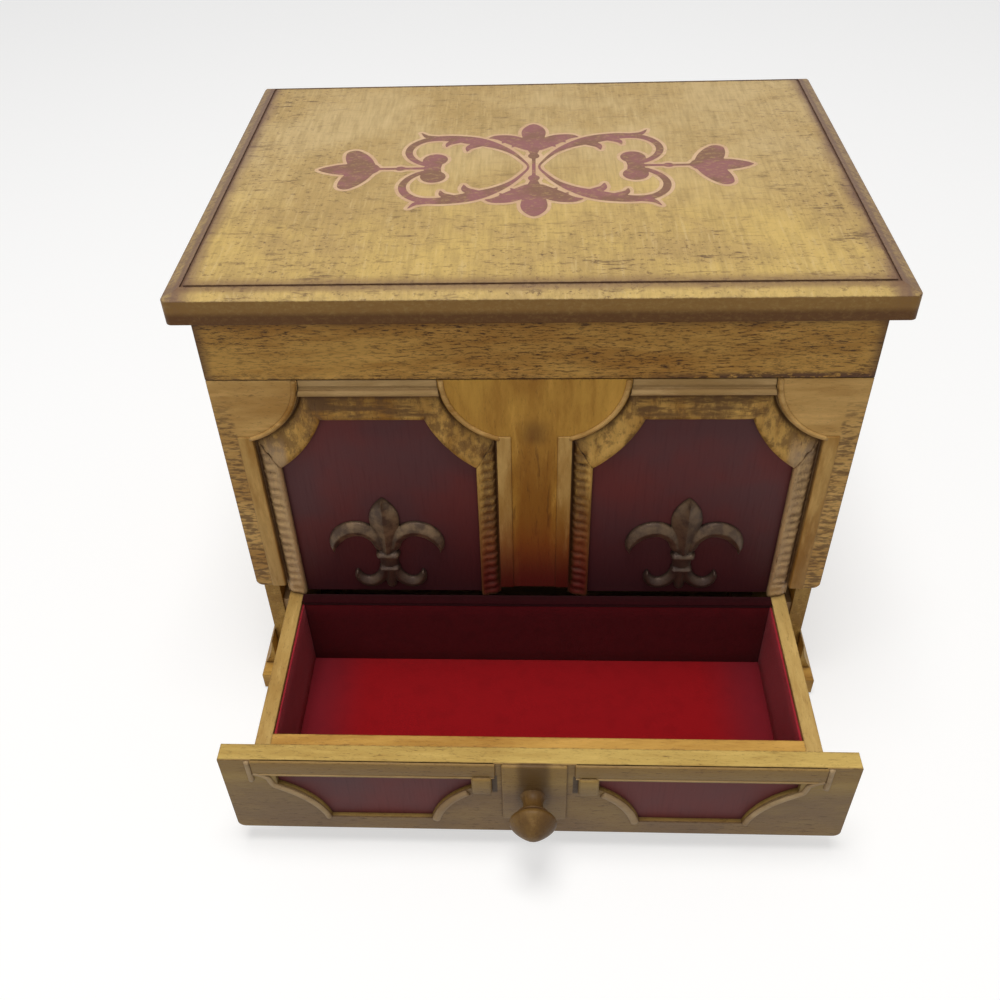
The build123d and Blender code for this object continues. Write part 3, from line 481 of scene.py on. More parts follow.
def skirt_stain(paint, base):
    """Darker towards the top, under the lid, and dark glaze along the seam, broken into dashes towards the right."""
    marks = paint.noise(330, (0.55, 1, 1), rough=0.7)
    high = (paint.z + paint.wander(180, (0.4, 1, 1), 0.006)).ramp(0.2065, 0.2135)
    low = paint.z.ramp((seam_z + 4.2) * MM, (seam_z + 0.8) * MM)
    low = low * (paint.x.ramp(0.03, 0.1) + 0.3) * marks.ramp(0.42, 0.56)
    return paint.layers(
        base,
        (high * 0.8, (0.085, 0.036, 0.018)),
        (paint.math("MINIMUM", low, 0.85), (0.07, 0.026, 0.02)),
        (abs(paint.x).ramp(0.12, 0.1252) * 0.7, (0.09, 0.042, 0.028)),
    )


def drawer_stain_and_painted_shade(paint, base):
    """The drawer's upright face duller and browner, partly paint, partly painted shade; painted shade in notches by
    the blocks and a painted shadow by the knob.
    """
    face = paint.y.ramp(-0.1772, -0.178)
    blotch = paint.noise(60, (0.5, 1, 1), detail=5.0).ramp(0.3, 0.62)
    across = abs(paint.x)
    # Painted shade in the narrow notches beside the corner blocks.
    painted_notch_shade = across.ramp(0.0146, 0.0152) * across.ramp(0.0172, 0.0168)
    tall = paint.z.ramp(0.0415, 0.043) * paint.z.ramp(0.0548, 0.0538)
    # Painted shadow by the knob.
    beside = abs(paint.x - knob_x * MM) + paint.wander(120, (1, 1, 0.4), 0.004)
    painted_knob_shadow = beside.ramp(0.0082, 0.004) * paint.z.ramp(0.026, 0.042)
    return paint.layers(
        base,
        # The upright face duller and browner: partly its own paint, partly painted shade.
        (face * 0.48, (0.25, 0.145, 0.062)),
        (face * paint.z.ramp(0.05, 0.056) * 0.55, (0.225, 0.12, 0.034)),
        (face * (paint.z.ramp(0.055, 0.04) * (blotch * 0.35 + 0.42)), (0.185, 0.11, 0.062)),
        (painted_notch_shade * (tall * face) * 0.85, (0.03, 0.015, 0.006)),
        (painted_knob_shadow * face * 0.78, (0.085, 0.04, 0.01)),
    )


def lid_gold():
    """The lid's finish: lighter, cross-brushed, with purple-brown wear beside the edges and in the groove, glaze and
    painted shade in the hollows, and painted shade on the upright lip.
    """
    paint = Paint("lid_gold", rough=0.52, coat=0.03, specular=0.25)
    weave = paint.noise(780, (1, 0.07, 1), detail=3.0, rough=0.65)
    cross = paint.noise(780, (0.07, 1, 1), detail=3.0, rough=0.65)
    broad = paint.noise(230, (1, 0.22, 1), detail=5.0, rough=0.65)
    clouds = paint.noise(18, detail=7.0, rough=0.68)
    specks = paint.noise(520, (0.75, 1, 1), detail=5.0, rough=0.8)
    dashes = paint.noise(360, (0.22, 1, 1), rough=0.75)
    olive = (0.29, 0.195, 0.068)
    dark = (0.12, 0.065, 0.028)
    across = abs(paint.x)
    rim = paint.math("MAXIMUM", across.ramp(0.06, 0.12), paint.y.ramp(-0.02, -0.08))
    worn = (clouds.ramp(0.4, 0.6) + rim) * 0.6
    near_front = (paint.y + paint.wander(30, (1, 1, 1), 0.05)).ramp(0.02, -0.06)
    side = (across + paint.wander(80, (1, 0.6, 1), 0.009, detail=5.0)).ramp(0.1185, 0.1262)
    front = (paint.y + paint.wander(60, (0.5, 1, 1), 0.004)).ramp(-0.086, -0.0925)
    blotch = specks.ramp(0.3, 0.55) * 0.32 + 0.64
    base = paint.layers(
        (0.555, 0.4, 0.185),
        (near_front, (0.6, 0.415, 0.13)),
        (clouds.ramp(0.36, 0.64), (0.45, 0.3, 0.11)),
        (weave.ramp(0.46, 0.7) * 0.3, olive),
        (cross.ramp(0.48, 0.72) * 0.14, olive),
        (broad.ramp(0.44, 0.7) * 0.34, olive),
        (weave.ramp(0.46, 0.28) * 0.35, (0.66, 0.5, 0.25)),
        (specks.ramp(0.535, 0.66) * worn * 0.85, dark),
        (dashes.ramp(0.55, 0.68) * worn * 0.8, dark),
        (side * across.ramp(0.129, 0.1272) * 0.78, (0.13, 0.062, 0.052)),
        (front * paint.y.ramp(-0.097, -0.0945) * 0.66, (0.165, 0.085, 0.045)),
        (across.ramp(0.1262, 0.1275) * (specks.ramp(0.38, 0.6) * 0.4 + 0.42), (0.165, 0.095, 0.06)),
        # Hollows darkened by occlusion: partly glaze, partly painted shade.
        (paint.hollows(0.0032).ramp(0.05, 0.5) * 0.7, (0.12, 0.06, 0.04)),
        (paint.edges(0.0013) * specks.ramp(0.38, 0.56) * 0.75, (0.11, 0.055, 0.03)),
        # The upright lip below the arris browner and darker: partly its own paint, partly painted shade.
        (paint.z.ramp(0.2244, 0.2238) * blotch, (0.29, 0.15, 0.036)),
        (paint.z.ramp(0.2205, 0.2175) * blotch, (0.12, 0.046, 0.008)),
    )
    return paint.finished(base, specks * -0.8 + weave * -0.5, 0.0002, soften_m=0.0005)


def ornament_paint(name, main, other):
    """Thin old paint on the lid, rubbed through to the gold in specks."""
    paint = Paint(name, rough=0.55, specular=0.35)
    clouds = paint.noise(70)
    specks = paint.noise(700, (0.6, 1, 1), rough=0.7)
    base = paint.layers(
        main, (clouds.ramp(0.4, 0.6), other), (specks.ramp(0.5, 0.68) * 0.5, (0.42, 0.28, 0.11)))
    return paint.finished(base, specks, 0.0001)


def red_lacquer():
    """Dark burgundy panels, a little dusty, with painted shade low down on the case and in their corners."""
    paint = Paint("burgundy_panel", rough=0.55, specular=0.22)
    clouds = paint.noise(26, rough=0.5)
    grain = paint.noise(800, stretched("Z", 0.06), detail=3.0)
    base = paint.layers(
        (0.155, 0.034, 0.032),
        (clouds.ramp(0.34, 0.66), (0.112, 0.04, 0.042)),
        (grain.ramp(0.5, 0.7) * 0.2, (0.06, 0.014, 0.017)),
        # Painted shade low down on the case.
        (paint.z.ramp(0.135, 0.066) * paint.y.ramp(-0.13, -0.11) * 0.78, (0.04, 0.006, 0.009)),
        # Painted shade in the corners.
        (paint.hollows(0.006).ramp(0.2, 0.8) * 0.6, (0.03, 0.006, 0.008)),
    )
    return paint.finished(base, grain, 0.00012)


def pewter():
    """Antiqued metal of the fleurs-de-lis: bronze-brown, with painted shade low down and to the right, and darker in
    the hollows.
    """
    paint = Paint("antique_pewter", rough=0.48, metal=0.35, specular=0.35)
    clouds = paint.noise(160, detail=5.0, rough=0.6)
    base = paint.layers(
        (0.215, 0.138, 0.074),
        (clouds.ramp(0.35, 0.65), (0.078, 0.046, 0.028)),
        # Painted shade low down and to the right.
        (paint.z.ramp(0.104, 0.076) * 0.72, (0.05, 0.025, 0.02)),
        (paint.x.ramp(0.0, 0.045) * 0.36, (0.044, 0.026, 0.02)),
        (paint.hollows(0.003).ramp(0.1, 0.6) * 0.9, (0.018, 0.01, 0.008)),
    )
    return paint.finished(base, paint.noise(1400, detail=3.0), 0.00012)


def felt(name, light, dark, side_shade=None):
    """Short felt: mottled pile with a soft sheen. side_shade is a painted shade near the side walls."""
    paint = Paint(name, rough=0.95, sheen=0.06, specular=0.05)
    pile = paint.noise(3200, detail=3.0, rough=0.7)
    nap = paint.noise(150, rough=0.6)
    base = paint.layers(dark, (pile.ramp(0.35, 0.65), light), (nap.ramp(0.45, 0.7) * 0.35, dark))
    if side_shade:
        # Painted shade near the side walls.
        base = paint.mix(abs(paint.x).ramp(0.074, 0.1) * 0.6, base, side_shade)
    return paint.finished(base, pile, 0.0003, strength=0.8)


def plain_wood():
    """Unpainted light wood inside the case."""
    paint = Paint("plain_wood", rough=0.65, specular=0.3)
    rings = paint.noise(60, stretched("X", 0.06), detail=6.0, rough=0.6, distortion=0.4)
    pores = paint.noise(1500, stretched("X", 0.06), detail=2.0)
    base = paint.layers(
        (0.5, 0.34, 0.18),
        (rings.ramp(0.3, 0.7), (0.36, 0.22, 0.11)),
        (pores.ramp(0.58, 0.7) * 0.5, (0.18, 0.1, 0.05)),
    )
    return paint.finished(base, pores, 0.0001, soften_m=0.0003)


def bare_metal(name, light, dark, rough):
    """Brass, steel or cast metal with faint brushing and tarnish."""
    paint = Paint(name, rough=rough, metal=1.0)
    tarnish = paint.noise(220, detail=5.0, rough=0.6)
    brushed = paint.noise(1800, (1, 0.1, 1), detail=2.0)
    return paint.finished(paint.mix(tarnish.ramp(0.4, 0.72), light, dark), brushed, 0.00003, soften_m=0.0002)


def mirror_glass():
    """Silvered glass with faint clouding."""
    paint = Paint("silvered_glass", rough=0.03, metal=1.0)
    return paint.finished(paint.mix(paint.noise(40).ramp(0.45, 0.8), (0.88, 0.9, 0.9), (0.8, 0.82, 0.8)))


materials = {
    "lid": lid_gold(),
    "front": gold_wood("gold_front", glaze=0.4),
    "stile": gold_wood(
        "gold_stile", glaze=0.38, light=(0.75, 0.46, 0.15), middle=(0.5, 0.262, 0.062), stain=stile_stain),
    "post": gold_wood(
        "gold_post", "Z", glaze=0.3, light=(0.65, 0.35, 0.058), middle=(0.39, 0.168, 0.02), stain=post_stain_and_painted_light),
    "drawer_face": gold_wood(
        "gold_drawer_face", glaze=0.55, light=(0.6, 0.415, 0.115), middle=(0.42, 0.255, 0.06), stain=drawer_stain_and_painted_shade),
    "skirt": gold_wood(
        "gold_skirt", glaze=1.0, worn=0.9, light=(0.71, 0.4, 0.094), middle=(0.44, 0.198, 0.032),
        fleck_scale=1150.0, stain=skirt_stain),
    "side": gold_wood("gold_side", "Y", glaze=0.62, light=(0.6, 0.375, 0.1), middle=(0.41, 0.215, 0.042)),
    "drawer_side": gold_wood(
        "gold_drawer_side", "Y", glaze=0.4, light=(0.6, 0.405, 0.135), middle=(0.4, 0.23, 0.058)),
    "moulding": gold_wood(
        "gold_moulding", "Z", glaze=0.5, worn=0.3, hollow_glaze_and_shade=0.95, light=(0.69, 0.405, 0.1), stain=moulding_stain_and_painted_light),
    # The bands carry the glaze, painted bounce light and painted shade at the post's foot.
    "band": gold_wood(
        "gold_band", "Z", glaze=0.2, worn=0.2, hollow_glaze_and_shade=0.35, light=(0.64, 0.395, 0.125), stain=foot_glaze_and_painted_light),
    "rim": gold_wood("gold_rim", glaze=0.2, worn=0.2, hollow_glaze_and_shade=0.3, light=(0.76, 0.475, 0.165)),
    "bead": gold_wood(
        "gold_bead", glaze=0.2, worn=0.2, hollow_glaze_and_shade=0.5, light=(0.62, 0.405, 0.175), middle=(0.42, 0.25, 0.085)),
    "dull_bead": gold_wood(
        "dull_bead", glaze=0.2, worn=0.2, hollow_glaze_and_shade=0.35, light=(0.46, 0.32, 0.17), middle=(0.32, 0.2, 0.09)),
    "knob": gold_wood(
        "gold_knob", "Y", glaze=0.5, worn=0.2, light=(0.215, 0.118, 0.03), middle=(0.1, 0.048, 0.012)),
    "paint": ornament_paint("mauve_paint", (0.205, 0.098, 0.058), (0.262, 0.103, 0.098)),
    "outline": ornament_paint("pale_outline", (0.64, 0.43, 0.26), (0.58, 0.37, 0.22)),
    "red": red_lacquer(),
    "pewter": pewter(),
    # Copies of one red felt. The floor's is its own colour, with painted shade near the side walls.
    "floor_felt": felt("scarlet_felt", (0.395, 0.008, 0.012), (0.225, 0.005, 0.008), side_shade=(0.13, 0.016, 0.026)),
    # A darker copy: painted shade on the walls, also used for the lid lining and the rolls.
    "wall_felt": felt("wall_felt", (0.3, 0.009, 0.017), (0.16, 0.004, 0.009)),
    # A lighter, purpler copy: painted light on the drawer's side walls.
    "side_felt": felt("side_felt", (0.47, 0.032, 0.046), (0.26, 0.016, 0.026)),
    "shaded_felt": felt("shaded_felt", (0.042, 0.004, 0.006), (0.022, 0.002, 0.003)),
    # A darker copy: painted shade on the drawer's back wall.
    "back_felt": felt("back_felt", (0.135, 0.006, 0.01), (0.07, 0.003, 0.005)),
    "foot_felt": felt("foot_felt", (0.03, 0.024, 0.022), (0.012, 0.01, 0.01)),
    "wood": plain_wood(),
    "brass": bare_metal("satin_brass", (0.52, 0.36, 0.145), (0.28, 0.18, 0.065), 0.4),
    "steel": bare_metal("plated_steel", (0.34, 0.335, 0.32), (0.19, 0.185, 0.17), 0.38),
    "cast": bare_metal("cast_metal", (0.27, 0.262, 0.25), (0.15, 0.145, 0.14), 0.5),
    "mirror": mirror_glass(),
}

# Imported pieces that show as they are, by finish
node_finish = {
    "lid": "lid_top_board",
    "skirt": "lid_front_rail",
    "side": "case_side_boards lid_side_rails base_side_mouldings",
    "drawer_side": "drawer_sides",
    "front": "base_front_moulding lid_back_rail mirror_bead drawer_inner_front drawer_back case_back_panel",
    "stile": "front_stiles",
    "post": "front_centre_post",
    "drawer_face": "drawer_front",
    "red": "front_red_panels drawer_red_panels",
    "wood": "case_bottom_board compartment_floor front_backing_board music_chamber_wall ring_tray_shelf "
            "ring_tray_supports drawer_runners drawer_stop_pegs drawer_bottom comb_block",
    "mirror": "lid_mirror",
    "brass": "hinge_case_leaves hinge_lid_leaves hinge_case_screws hinge_lid_screws music_cylinder governor_wheel "
             "movement_uprights governor_frame stop_rod_guide",
    "steel": "hinge_pins lid_stay_arm stay_rivet stay_guide_pin stop_rod stop_lever music_comb movement_screws "
             "air_brake_fly spring_arbor winding_key",
    "cast": "music_bedplate",
}
for finish, names in node_finish.items():
    for node_name in names.split():
        dress(nodes[node_name], materials[finish])


def place(piece, finish, body, slot, *replaced):
    """Dress a piece, make it ride on its body and hide the imported parts that it replaces."""
    dress(piece, materials[finish])
    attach(piece, body)
    if replaced:
        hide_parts(*replaced)


def gild(piece, finish, body, *replaced):
    """Place a piece of gold-painted wood."""
    place(piece, finish, body, "gold_wood", *replaced)


# Painted ornament on the lid: points are (u, v, radius) from its middle, and its quarters are mirror images

ornament_y = -2.6
ornament_half_u = 95.0
ornament_half_v = 46.0
ornament_cells = (380, 184)
ornament_films = (  # name, finish, reach beyond the strokes and height over the lid
    ("lid_ornament_outline", "outline", 1.5, 0.03),
    ("lid_ornament", "paint", 0.0, 0.06),
)
quarters = [(1, 1), (-1, 1), (1, -1), (-1, -1)]
ornament_strokes = [
    [(2.2, 0, 0.5), (3.2, 3.5, 0.6), (8.5, 13, 1.1), (15.5, 20.2, 2.3), (24, 25.2, 3.7), (33, 28.2, 3.2),
     (41, 29, 2.4), (47.5, 27, 1.9), (52, 22, 1.7), (53.4, 15.5, 1.6), (51.4, 9.2, 1.5), (47, 4.4, 1.4),
     (42, 2, 1.2)],
    [(24, 22.5, 2.6), (27.5, 19.5, 1.7), (28.4, 15.6, 0.3)],
    [(33, 26.4, 2.4), (36.6, 23.6, 1.4), (37.6, 20.4, 0.3)],
    [(42.5, 29.2, 2.2), (46.8, 31.2, 1.3), (49.4, 34.8, 0.25)],
    [(41.4, 8, 5.2), (41.6, 7.6, 5.2)],
    [(42.2, 0, 3.5), (41.8, 5, 3.6)],
    [(44, 0, 1.1), (52, 0, 0.9), (64, 0, 0.9)],
    [(55.4, 0, 1.9), (55.8, 0, 1.9)],
    [(64.5, 0, 0.9), (67.5, 0, 3.2), (71.5, 0, 6.2), (77.5, 0, 5.2), (82, 0, 4.3), (86.8, 0, 2.4),
     (90, 0, 0.4)],
    [(70.6, 2.2, 4.4), (73.4, 7, 5.4), (75.4, 11.4, 4.8), (76.8, 14.6, 3.5)],
    [(0, 7.5, 0.8), (0, 13, 1.7), (0, 19, 3.2), (0, 26, 4.2), (0, 34, 5.3), (0, 39, 3.2),
     (0, 42.3, 0.4)],
    [(0, 10, 2.4), (0, 10.4, 2.4)],
    [(0, 0, 0.75), (0, 9, 0.75)],
    [(2.2, 19, 3.2), (5.6, 23.2, 4.3), (9.4, 26.4, 4.2), (13, 28.4, 3), (16.4, 29.2, 1.8), (19, 28.6, 0.5)],
    [(11.8, 25.4, 1.6), (13.6, 23.4, 0.4)],
    [(7.6, 21.4, 1.6), (9.2, 19.2, 0.4)],
]


def lid_ornament():
    """Two facing hearts of leafy scrolls with a palmette at each end, above and below."""
    us = np.linspace(-ornament_half_u, ornament_half_u, ornament_cells[0] + 1)
    vs = np.linspace(-ornament_half_v, ornament_half_v, ornament_cells[1] + 1)
    field = distance_field(stroke_parts(mirrored_strokes(ornament_strokes, quarters)), us, vs)
    for name, finish, level, lift in ornament_films:
        flat, faces = cut_region(field, us, vs, level)
        verts = [(u, v + ornament_y, lid_top_z + lift) for u, v, *_ in flat]
        gild(mesh_object(name, verts, faces), finish, "lid")


lid_ornament()


# Fleurs-de-lis: strokes of (u, v, radius) points, with v up from the foot of the stem, then height and ridge share

fleur_foot_z = 64.0
fleur_x = 64.0
fleur_strokes = [
    ([(0, 27, 3.4), (0, 34, 4.6), (0, 41, 6.2), (0, 46.4, 6.2), (0, 51.8, 3.6), (0, 56.2, 0.5)],
     4.6, 0.75),
    ([(-3, 28.5, 2.6), (-4.8, 33.8, 3.2), (-8.8, 37.8, 3.8), (-13.6, 38.7, 4.1), (-18.4, 36.8, 3.8),
      (-21.8, 32.9, 2.9), (-23.4, 29, 1.6), (-23.2, 26.2, 0.3)], 3.4, 0.45),
    ([(0, 15, 3.9), (0, 25, 4.1)], 2.6, 0),
    ([(-3.4, 23.8, 1.9), (3.4, 23.8, 1.9)], 4.1, 0),
    ([(-3.3, 15.6, 1.3), (3.3, 15.6, 1.3)], 3.7, 0),
    ([(-2.2, 14.6, 2.2), (-3.6, 10, 2.7), (-6.6, 6.6, 3), (-10.2, 5.6, 3), (-13.2, 7.4, 2.4),
      (-14.6, 10.4, 1.5), (-14.6, 13, 0.4)], 3.1, 0.45),
    ([(0, 15, 3.2), (0, 9.5, 2.9), (0, 4.6, 2.2)], 3, 0.4),
]
fleur_wall = 0.9


def fleur(name, centre_x):
    """A cast fleur-de-lis: rounded strokes raised from a thin flat edge, closed behind."""
    parts, heights = [], []
    for stroke, height, ridge in fleur_strokes:
        for side in (1, -1) if stroke[0][0] < 0 and stroke[-1][0] < 0 else (1,):
            new = stroke_parts([[(u * side, v, r) for u, v, r in stroke]])
            parts += new
            heights += [(height - fleur_wall, ridge)] * len(new)
    us, vs = np.linspace(-26.0, 26.0, 131), np.linspace(-3.0, 60.0, 158)
    raised = relief_field(parts, heights, us, vs)
    flat, faces = cut_region(distance_field(parts, us, vs), us, vs, 0.0)
    count = len(flat)
    front = [(u, v, fleur_wall + raised[i, j] * whole) for u, v, i, j, whole in flat]
    back = [(u, v, 0.0) for u, v, *_ in flat]
    edges = {(b, a): None for face in faces for a, b in zip(face, face[1:] + face[:1])}
    walls = [(a, b, b + count, a + count) for a, b in edges if (b, a) not in edges]
    verts = [(centre_x + u, red_y - h, fleur_foot_z + v) for u, v, h in front + back]
    closed = faces + [tuple(count + k for k in reversed(face)) for face in faces] + walls
    return closed_solid(name, verts, closed, 50.0)


for hand, side in sides:
    place(fleur(f"fleur_{hand}", side * fleur_x), "pewter", "case", "pewter", "fleurs_de_lis")


# Mouldings of the upper front

arch_section = [  # share of the way from the recess to the panel, depth behind the front
    (0.0, 2.5), (0.07, 2.65), (0.13, 2.1), (0.2, 1.45), (0.28, 1.05), (0.36, 0.8), (0.44, 0.66), (0.52, 0.6),
    (0.6, 0.56), (0.67, 0.42), (0.74, 0.12), (0.82, 0.0), (0.9, 0.06), (0.96, 0.4), (1.0, 1.0), (1.0, 3.0),
    (0.0, 3.0),
]
arch_back = 3.0
arch_carved = 2.0
arch_deepest = 2.95
rise_steps, hollow_steps, top_steps = 150, 20, 24
hollow_x = 73.4
gouge_pitch = 4.7
gouge_depth = 1.15
gouge_middle = 0.46
gouge_reach = 0.4
mitre_depth = 0.5
ripple_depth = 0.12
corner_z = seam_z - math.sqrt(spandrel_r ** 2 - (spandrel_offset - recess_half) ** 2)
top_strip = [(184.25, -92.7), (181.4, -92.75), (181.0, -92.2), (180.2, -92.2), (179.7, -92.6)]
top_groove = [(176.6, -90.6), (176.6, -90.0), (177.4, -90.0), (177.4, -85.2), (184.25, -85.2)]
top_bead_z = 178.2
top_bead_r = 1.5
top_gap = 0.25
bead_steps = 8
bead_foot = 0.3


def arc_between(centre, radius, start, end, steps):
    """Points on a circle from the angle of one point to that of another, the short way round."""
    a0, a1 = (math.atan2(z - centre[1], x - centre[0]) for x, z in (start, end))
    if abs(a1 - a0) > math.pi:
        a1 -= math.copysign(2 * math.pi, a1 - a0)
    turn = [a0 + (a1 - a0) * k / steps for k in range(steps + 1)]
    return [(centre[0] + radius * math.cos(a), centre[1] + radius * math.sin(a)) for a in turn]


def straight(start, end, steps):
    """Points on a straight line."""
    return [tuple(a + (b - a) * k / steps for a, b in zip(start, end)) for k in range(steps + 1)]


def arch_runs(side):
    """Outer and inner edge of one vertical and one hollow corner. side is -1 or 1 from the panel's middle."""
    top_half = spandrel_offset - math.sqrt(spandrel_r ** 2 - (seam_z - top_mould_z) ** 2)
    hollow_r = math.hypot(hollow_x - red_half, seam_z - red_side_z)
    inner_top = hollow_x - math.sqrt(hollow_r ** 2 - (seam_z - red_top_z) ** 2)
    rise = (
        straight((side * recess_half, panel_bottom_z), (side * recess_half, corner_z), rise_steps),
        straight((side * red_half, panel_bottom_z), (side * red_half, red_side_z), rise_steps),
    )
    hollow = (
        arc_between(
            (side * spandrel_offset, seam_z), spandrel_r, rise[0][-1], (side * top_half, top_mould_z), hollow_steps),
        arc_between((side * hollow_x, seam_z), hollow_r, rise[1][-1], (side * inner_top, red_top_z), hollow_steps),
    )
    return rise, hollow, top_half, inner_top


def gouge(x, z, t):
    """Depth of the gouges in an upright side, at a share t of the way across it."""
    wander = noise.noise(Vector((x, 0.0, z * 0.13)))
    wave = 0.5 + 0.5 * math.cos(2 * math.pi * (z / gouge_pitch + 0.3 * wander))
    across = max(0.0, 1.0 - abs(t - gouge_middle) / gouge_reach)
    return gouge_depth * wave ** 1.5 * across ** 0.5 * (0.85 + 0.6 * wander)


def arch_moulding(name, centre_x):
    """Carved moulding between a recess and its red panel. Its sides carry rows of short gouges."""
    rise_l, hollow_l, top_half, inner_top = arch_runs(-1)
    rise_r, hollow_r, *_ = arch_runs(1)
    top = (
        straight((-top_half, top_mould_z), (top_half, top_mould_z), top_steps),
        straight((-inner_top, red_top_z), (inner_top, red_top_z), top_steps),
    )
    outer, inner = (
        rise_l[e] + hollow_l[e][1:] + top[e][1:] + hollow_r[e][::-1][1:] + rise_r[e][::-1][1:] for e in (0, 1))
    mitres = np.cumsum([rise_steps, hollow_steps, top_steps, hollow_steps])
    verts = []
    for k, (o, i) in enumerate(zip(outer, inner)):
        upright = abs(o[0]) > recess_half - 0.01
        for t, depth in arch_section:
            x = o[0] + (i[0] - o[0]) * t
            z = o[1] + (i[1] - o[1]) * t
            cut = gouge(centre_x + o[0], z, t) if upright and depth < arch_carved else 0.0
            if k in mitres and 0.0 < t < 1.0 and depth < arch_carved:
                cut += mitre_depth
            ripple = ripple_depth * noise.noise(Vector((x * 0.21 + centre_x, depth, z * 0.21)))
            if depth < arch_back:
                depth = min(depth + cut + ripple, arch_deepest)
            verts.append((centre_x + x, front_y + depth, z))
    return closed_solid(name, verts, tube_faces(len(outer), len(arch_section)), 32.0)


def top_moulding(name, centre_x):
    """Strip, bead and groove over a recess, cut off by the two spandrel arcs."""
    curve = [
        (top_bead_z + top_bead_r * math.cos(a), -92.6 - 0.95 * top_bead_r * math.sin(a))
        for a in [math.radians(8 + 164 * k / 8) for k in range(9)]
    ]
    section = top_strip + curve + top_groove
    verts = []
    steps = 30
    for k in range(steps + 1):
        for z, y in section:
            half = spandrel_offset - math.sqrt(spandrel_r ** 2 - (seam_z - max(z, top_mould_z)) ** 2) - top_gap
            verts.append((centre_x + half * (2 * k / steps - 1), y, z))
    return closed_solid(name, verts, tube_faces(steps + 1, len(section)), 40.0)


def bead(name, path, width, height):
    """A half-round bead on the front, sunk a little at its foot. path is a list of (point, across) pairs."""
    turn = [math.pi * k / bead_steps for k in range(bead_steps + 1)]
    curve = [(-width / 2 * math.cos(a), height * math.sin(a)) for a in turn]
    section = [(-width / 2, -bead_foot)] + curve + [(width / 2, -bead_foot)]
    verts = [Vector(point) + Vector(across) * a + Vector((0, -1, 0)) * b for point, across in path for a, b in section]
    return tidy_normals(mesh_object(name, verts, tube_faces(len(path), len(section), flip=True)))


def arc_bead(name, centre, radius, start, end, face_y, width, height):
    """A bead along an arc on a face of the front."""
    arc = arc_between(centre, radius, start, end, 28)
    path = [((x, face_y, z), Vector((x - centre[0], 0, z - centre[1])).normalized()) for x, z in arc]
    return bead(name, path, width, height)


def run_bead(name, points, face_y, width, height):
    """A bead along a smooth line of (x, z) points on a face of the front."""
    line = smooth_run(points, 5)
    path = []
    for k, (x, z) in enumerate(line):
        before, after = line[max(k - 1, 0)], line[min(k + 1, len(line) - 1)]
        along = Vector((after[0] - before[0], 0, after[1] - before[1])).normalized()
        path.append(((x, face_y, z), (along.z, 0, -along.x)))
    return bead(name, path, width, height)


def raised_band(name, xs, zs, face_y, height, corner=0.45):
    """A flat band with rounded edges, raised from a face of the front."""
    (x0, x1), (z0, z1) = sorted(xs), zs
    work = bmesh.new()
    back, front = (
        [work.verts.new(Vector((x, y, z)) * MM) for x, z in ((x0, z0), (x1, z0), (x1, z1), (x0, z1))]
        for y in (face_y + 0.4, face_y - height))
    work.faces.new(front)
    work.faces.new(back[::-1])
    for k in range(4):
        m = (k + 1) % 4
        work.faces.new((front[m], front[k], back[k], back[m]))
    rim = [e for e in work.edges if all(v in front for v in e.verts)]
    legs = [e for e in work.edges if (e.verts[0] in front) != (e.verts[1] in front)]
    bmesh.ops.bevel(work, geom=rim + legs, offset=corner * MM, segments=3, affect="EDGES", profile=0.5)
    bmesh.ops.recalc_face_normals(work, faces=work.faces)
    return set_sharp(worked_object(name, work), 40.0)


band_top_z = 156.5
bead_in = 1.35
band_spans = {"stile": (111.95, 117.9), "post": (9.2, 14.85)}

for hand, side in sides:
    cx = side * panel_x
    gild(arch_moulding(f"arch_moulding_{hand}", cx), "moulding", "case", "front_mouldings")
    gild(top_moulding(f"top_bead_{hand}", cx), "bead", "case", "front_mouldings")
    for which, turn in (("outer", side), ("inner", -side)):
        centre = (cx + turn * spandrel_offset, seam_z)
        start = (cx + turn * (spandrel_offset - spandrel_r), seam_z - 0.3)
        end = (cx + turn * (recess_half + 0.8), corner_z - 0.2)
        name = f"spandrel_bead_{which}_{hand}"
        gild(arc_bead(name, centre, spandrel_r - bead_in, start, end, front_y, 2.0, 1.0), "rim", "case")
    for which, span in band_spans.items():
        band = raised_band(
            f"{which}_band_{hand}", [side * x for x in span], (stile_bottom_z, band_top_z), front_y, 0.7)
        gild(band, "band", "case")


# Drawer front

drawer_arc_r = 36.0
drawer_arc_offset = 56.0
drawer_arc_z = 13.6
drawer_arc_ends_z = (43.2, 21.5)
drawer_top_z = 62.3
drawer_lip = (16.0, 111.8), 53.4  # span across, height
drawer_post = 113.4, (48.6, 62.0)  # place across, span up
drawer_bands = {  # spans across and up, height over the face and rounding
    "band": ((15.6, 112.2), (54.3, drawer_top_z), 0.9, 0.5),
    "block": ((17.0, 25.2), (42.8, 54.0), 1.9, 1.3),
}
drawer_plate = (-13.2, 12.6), (24.0, drawer_top_z - 0.2)
drawer_outer_line = [
    (112, 53.9), (109, 52.6), (106.6, 50.4), (105.9, 47.8), (105, 45.3), (102.4, 43.3), (98.6, 40.6),
    (93.6, 36.2), (89.4, 30.9), (86.6, 25.4), (85.4, 21.4),
]


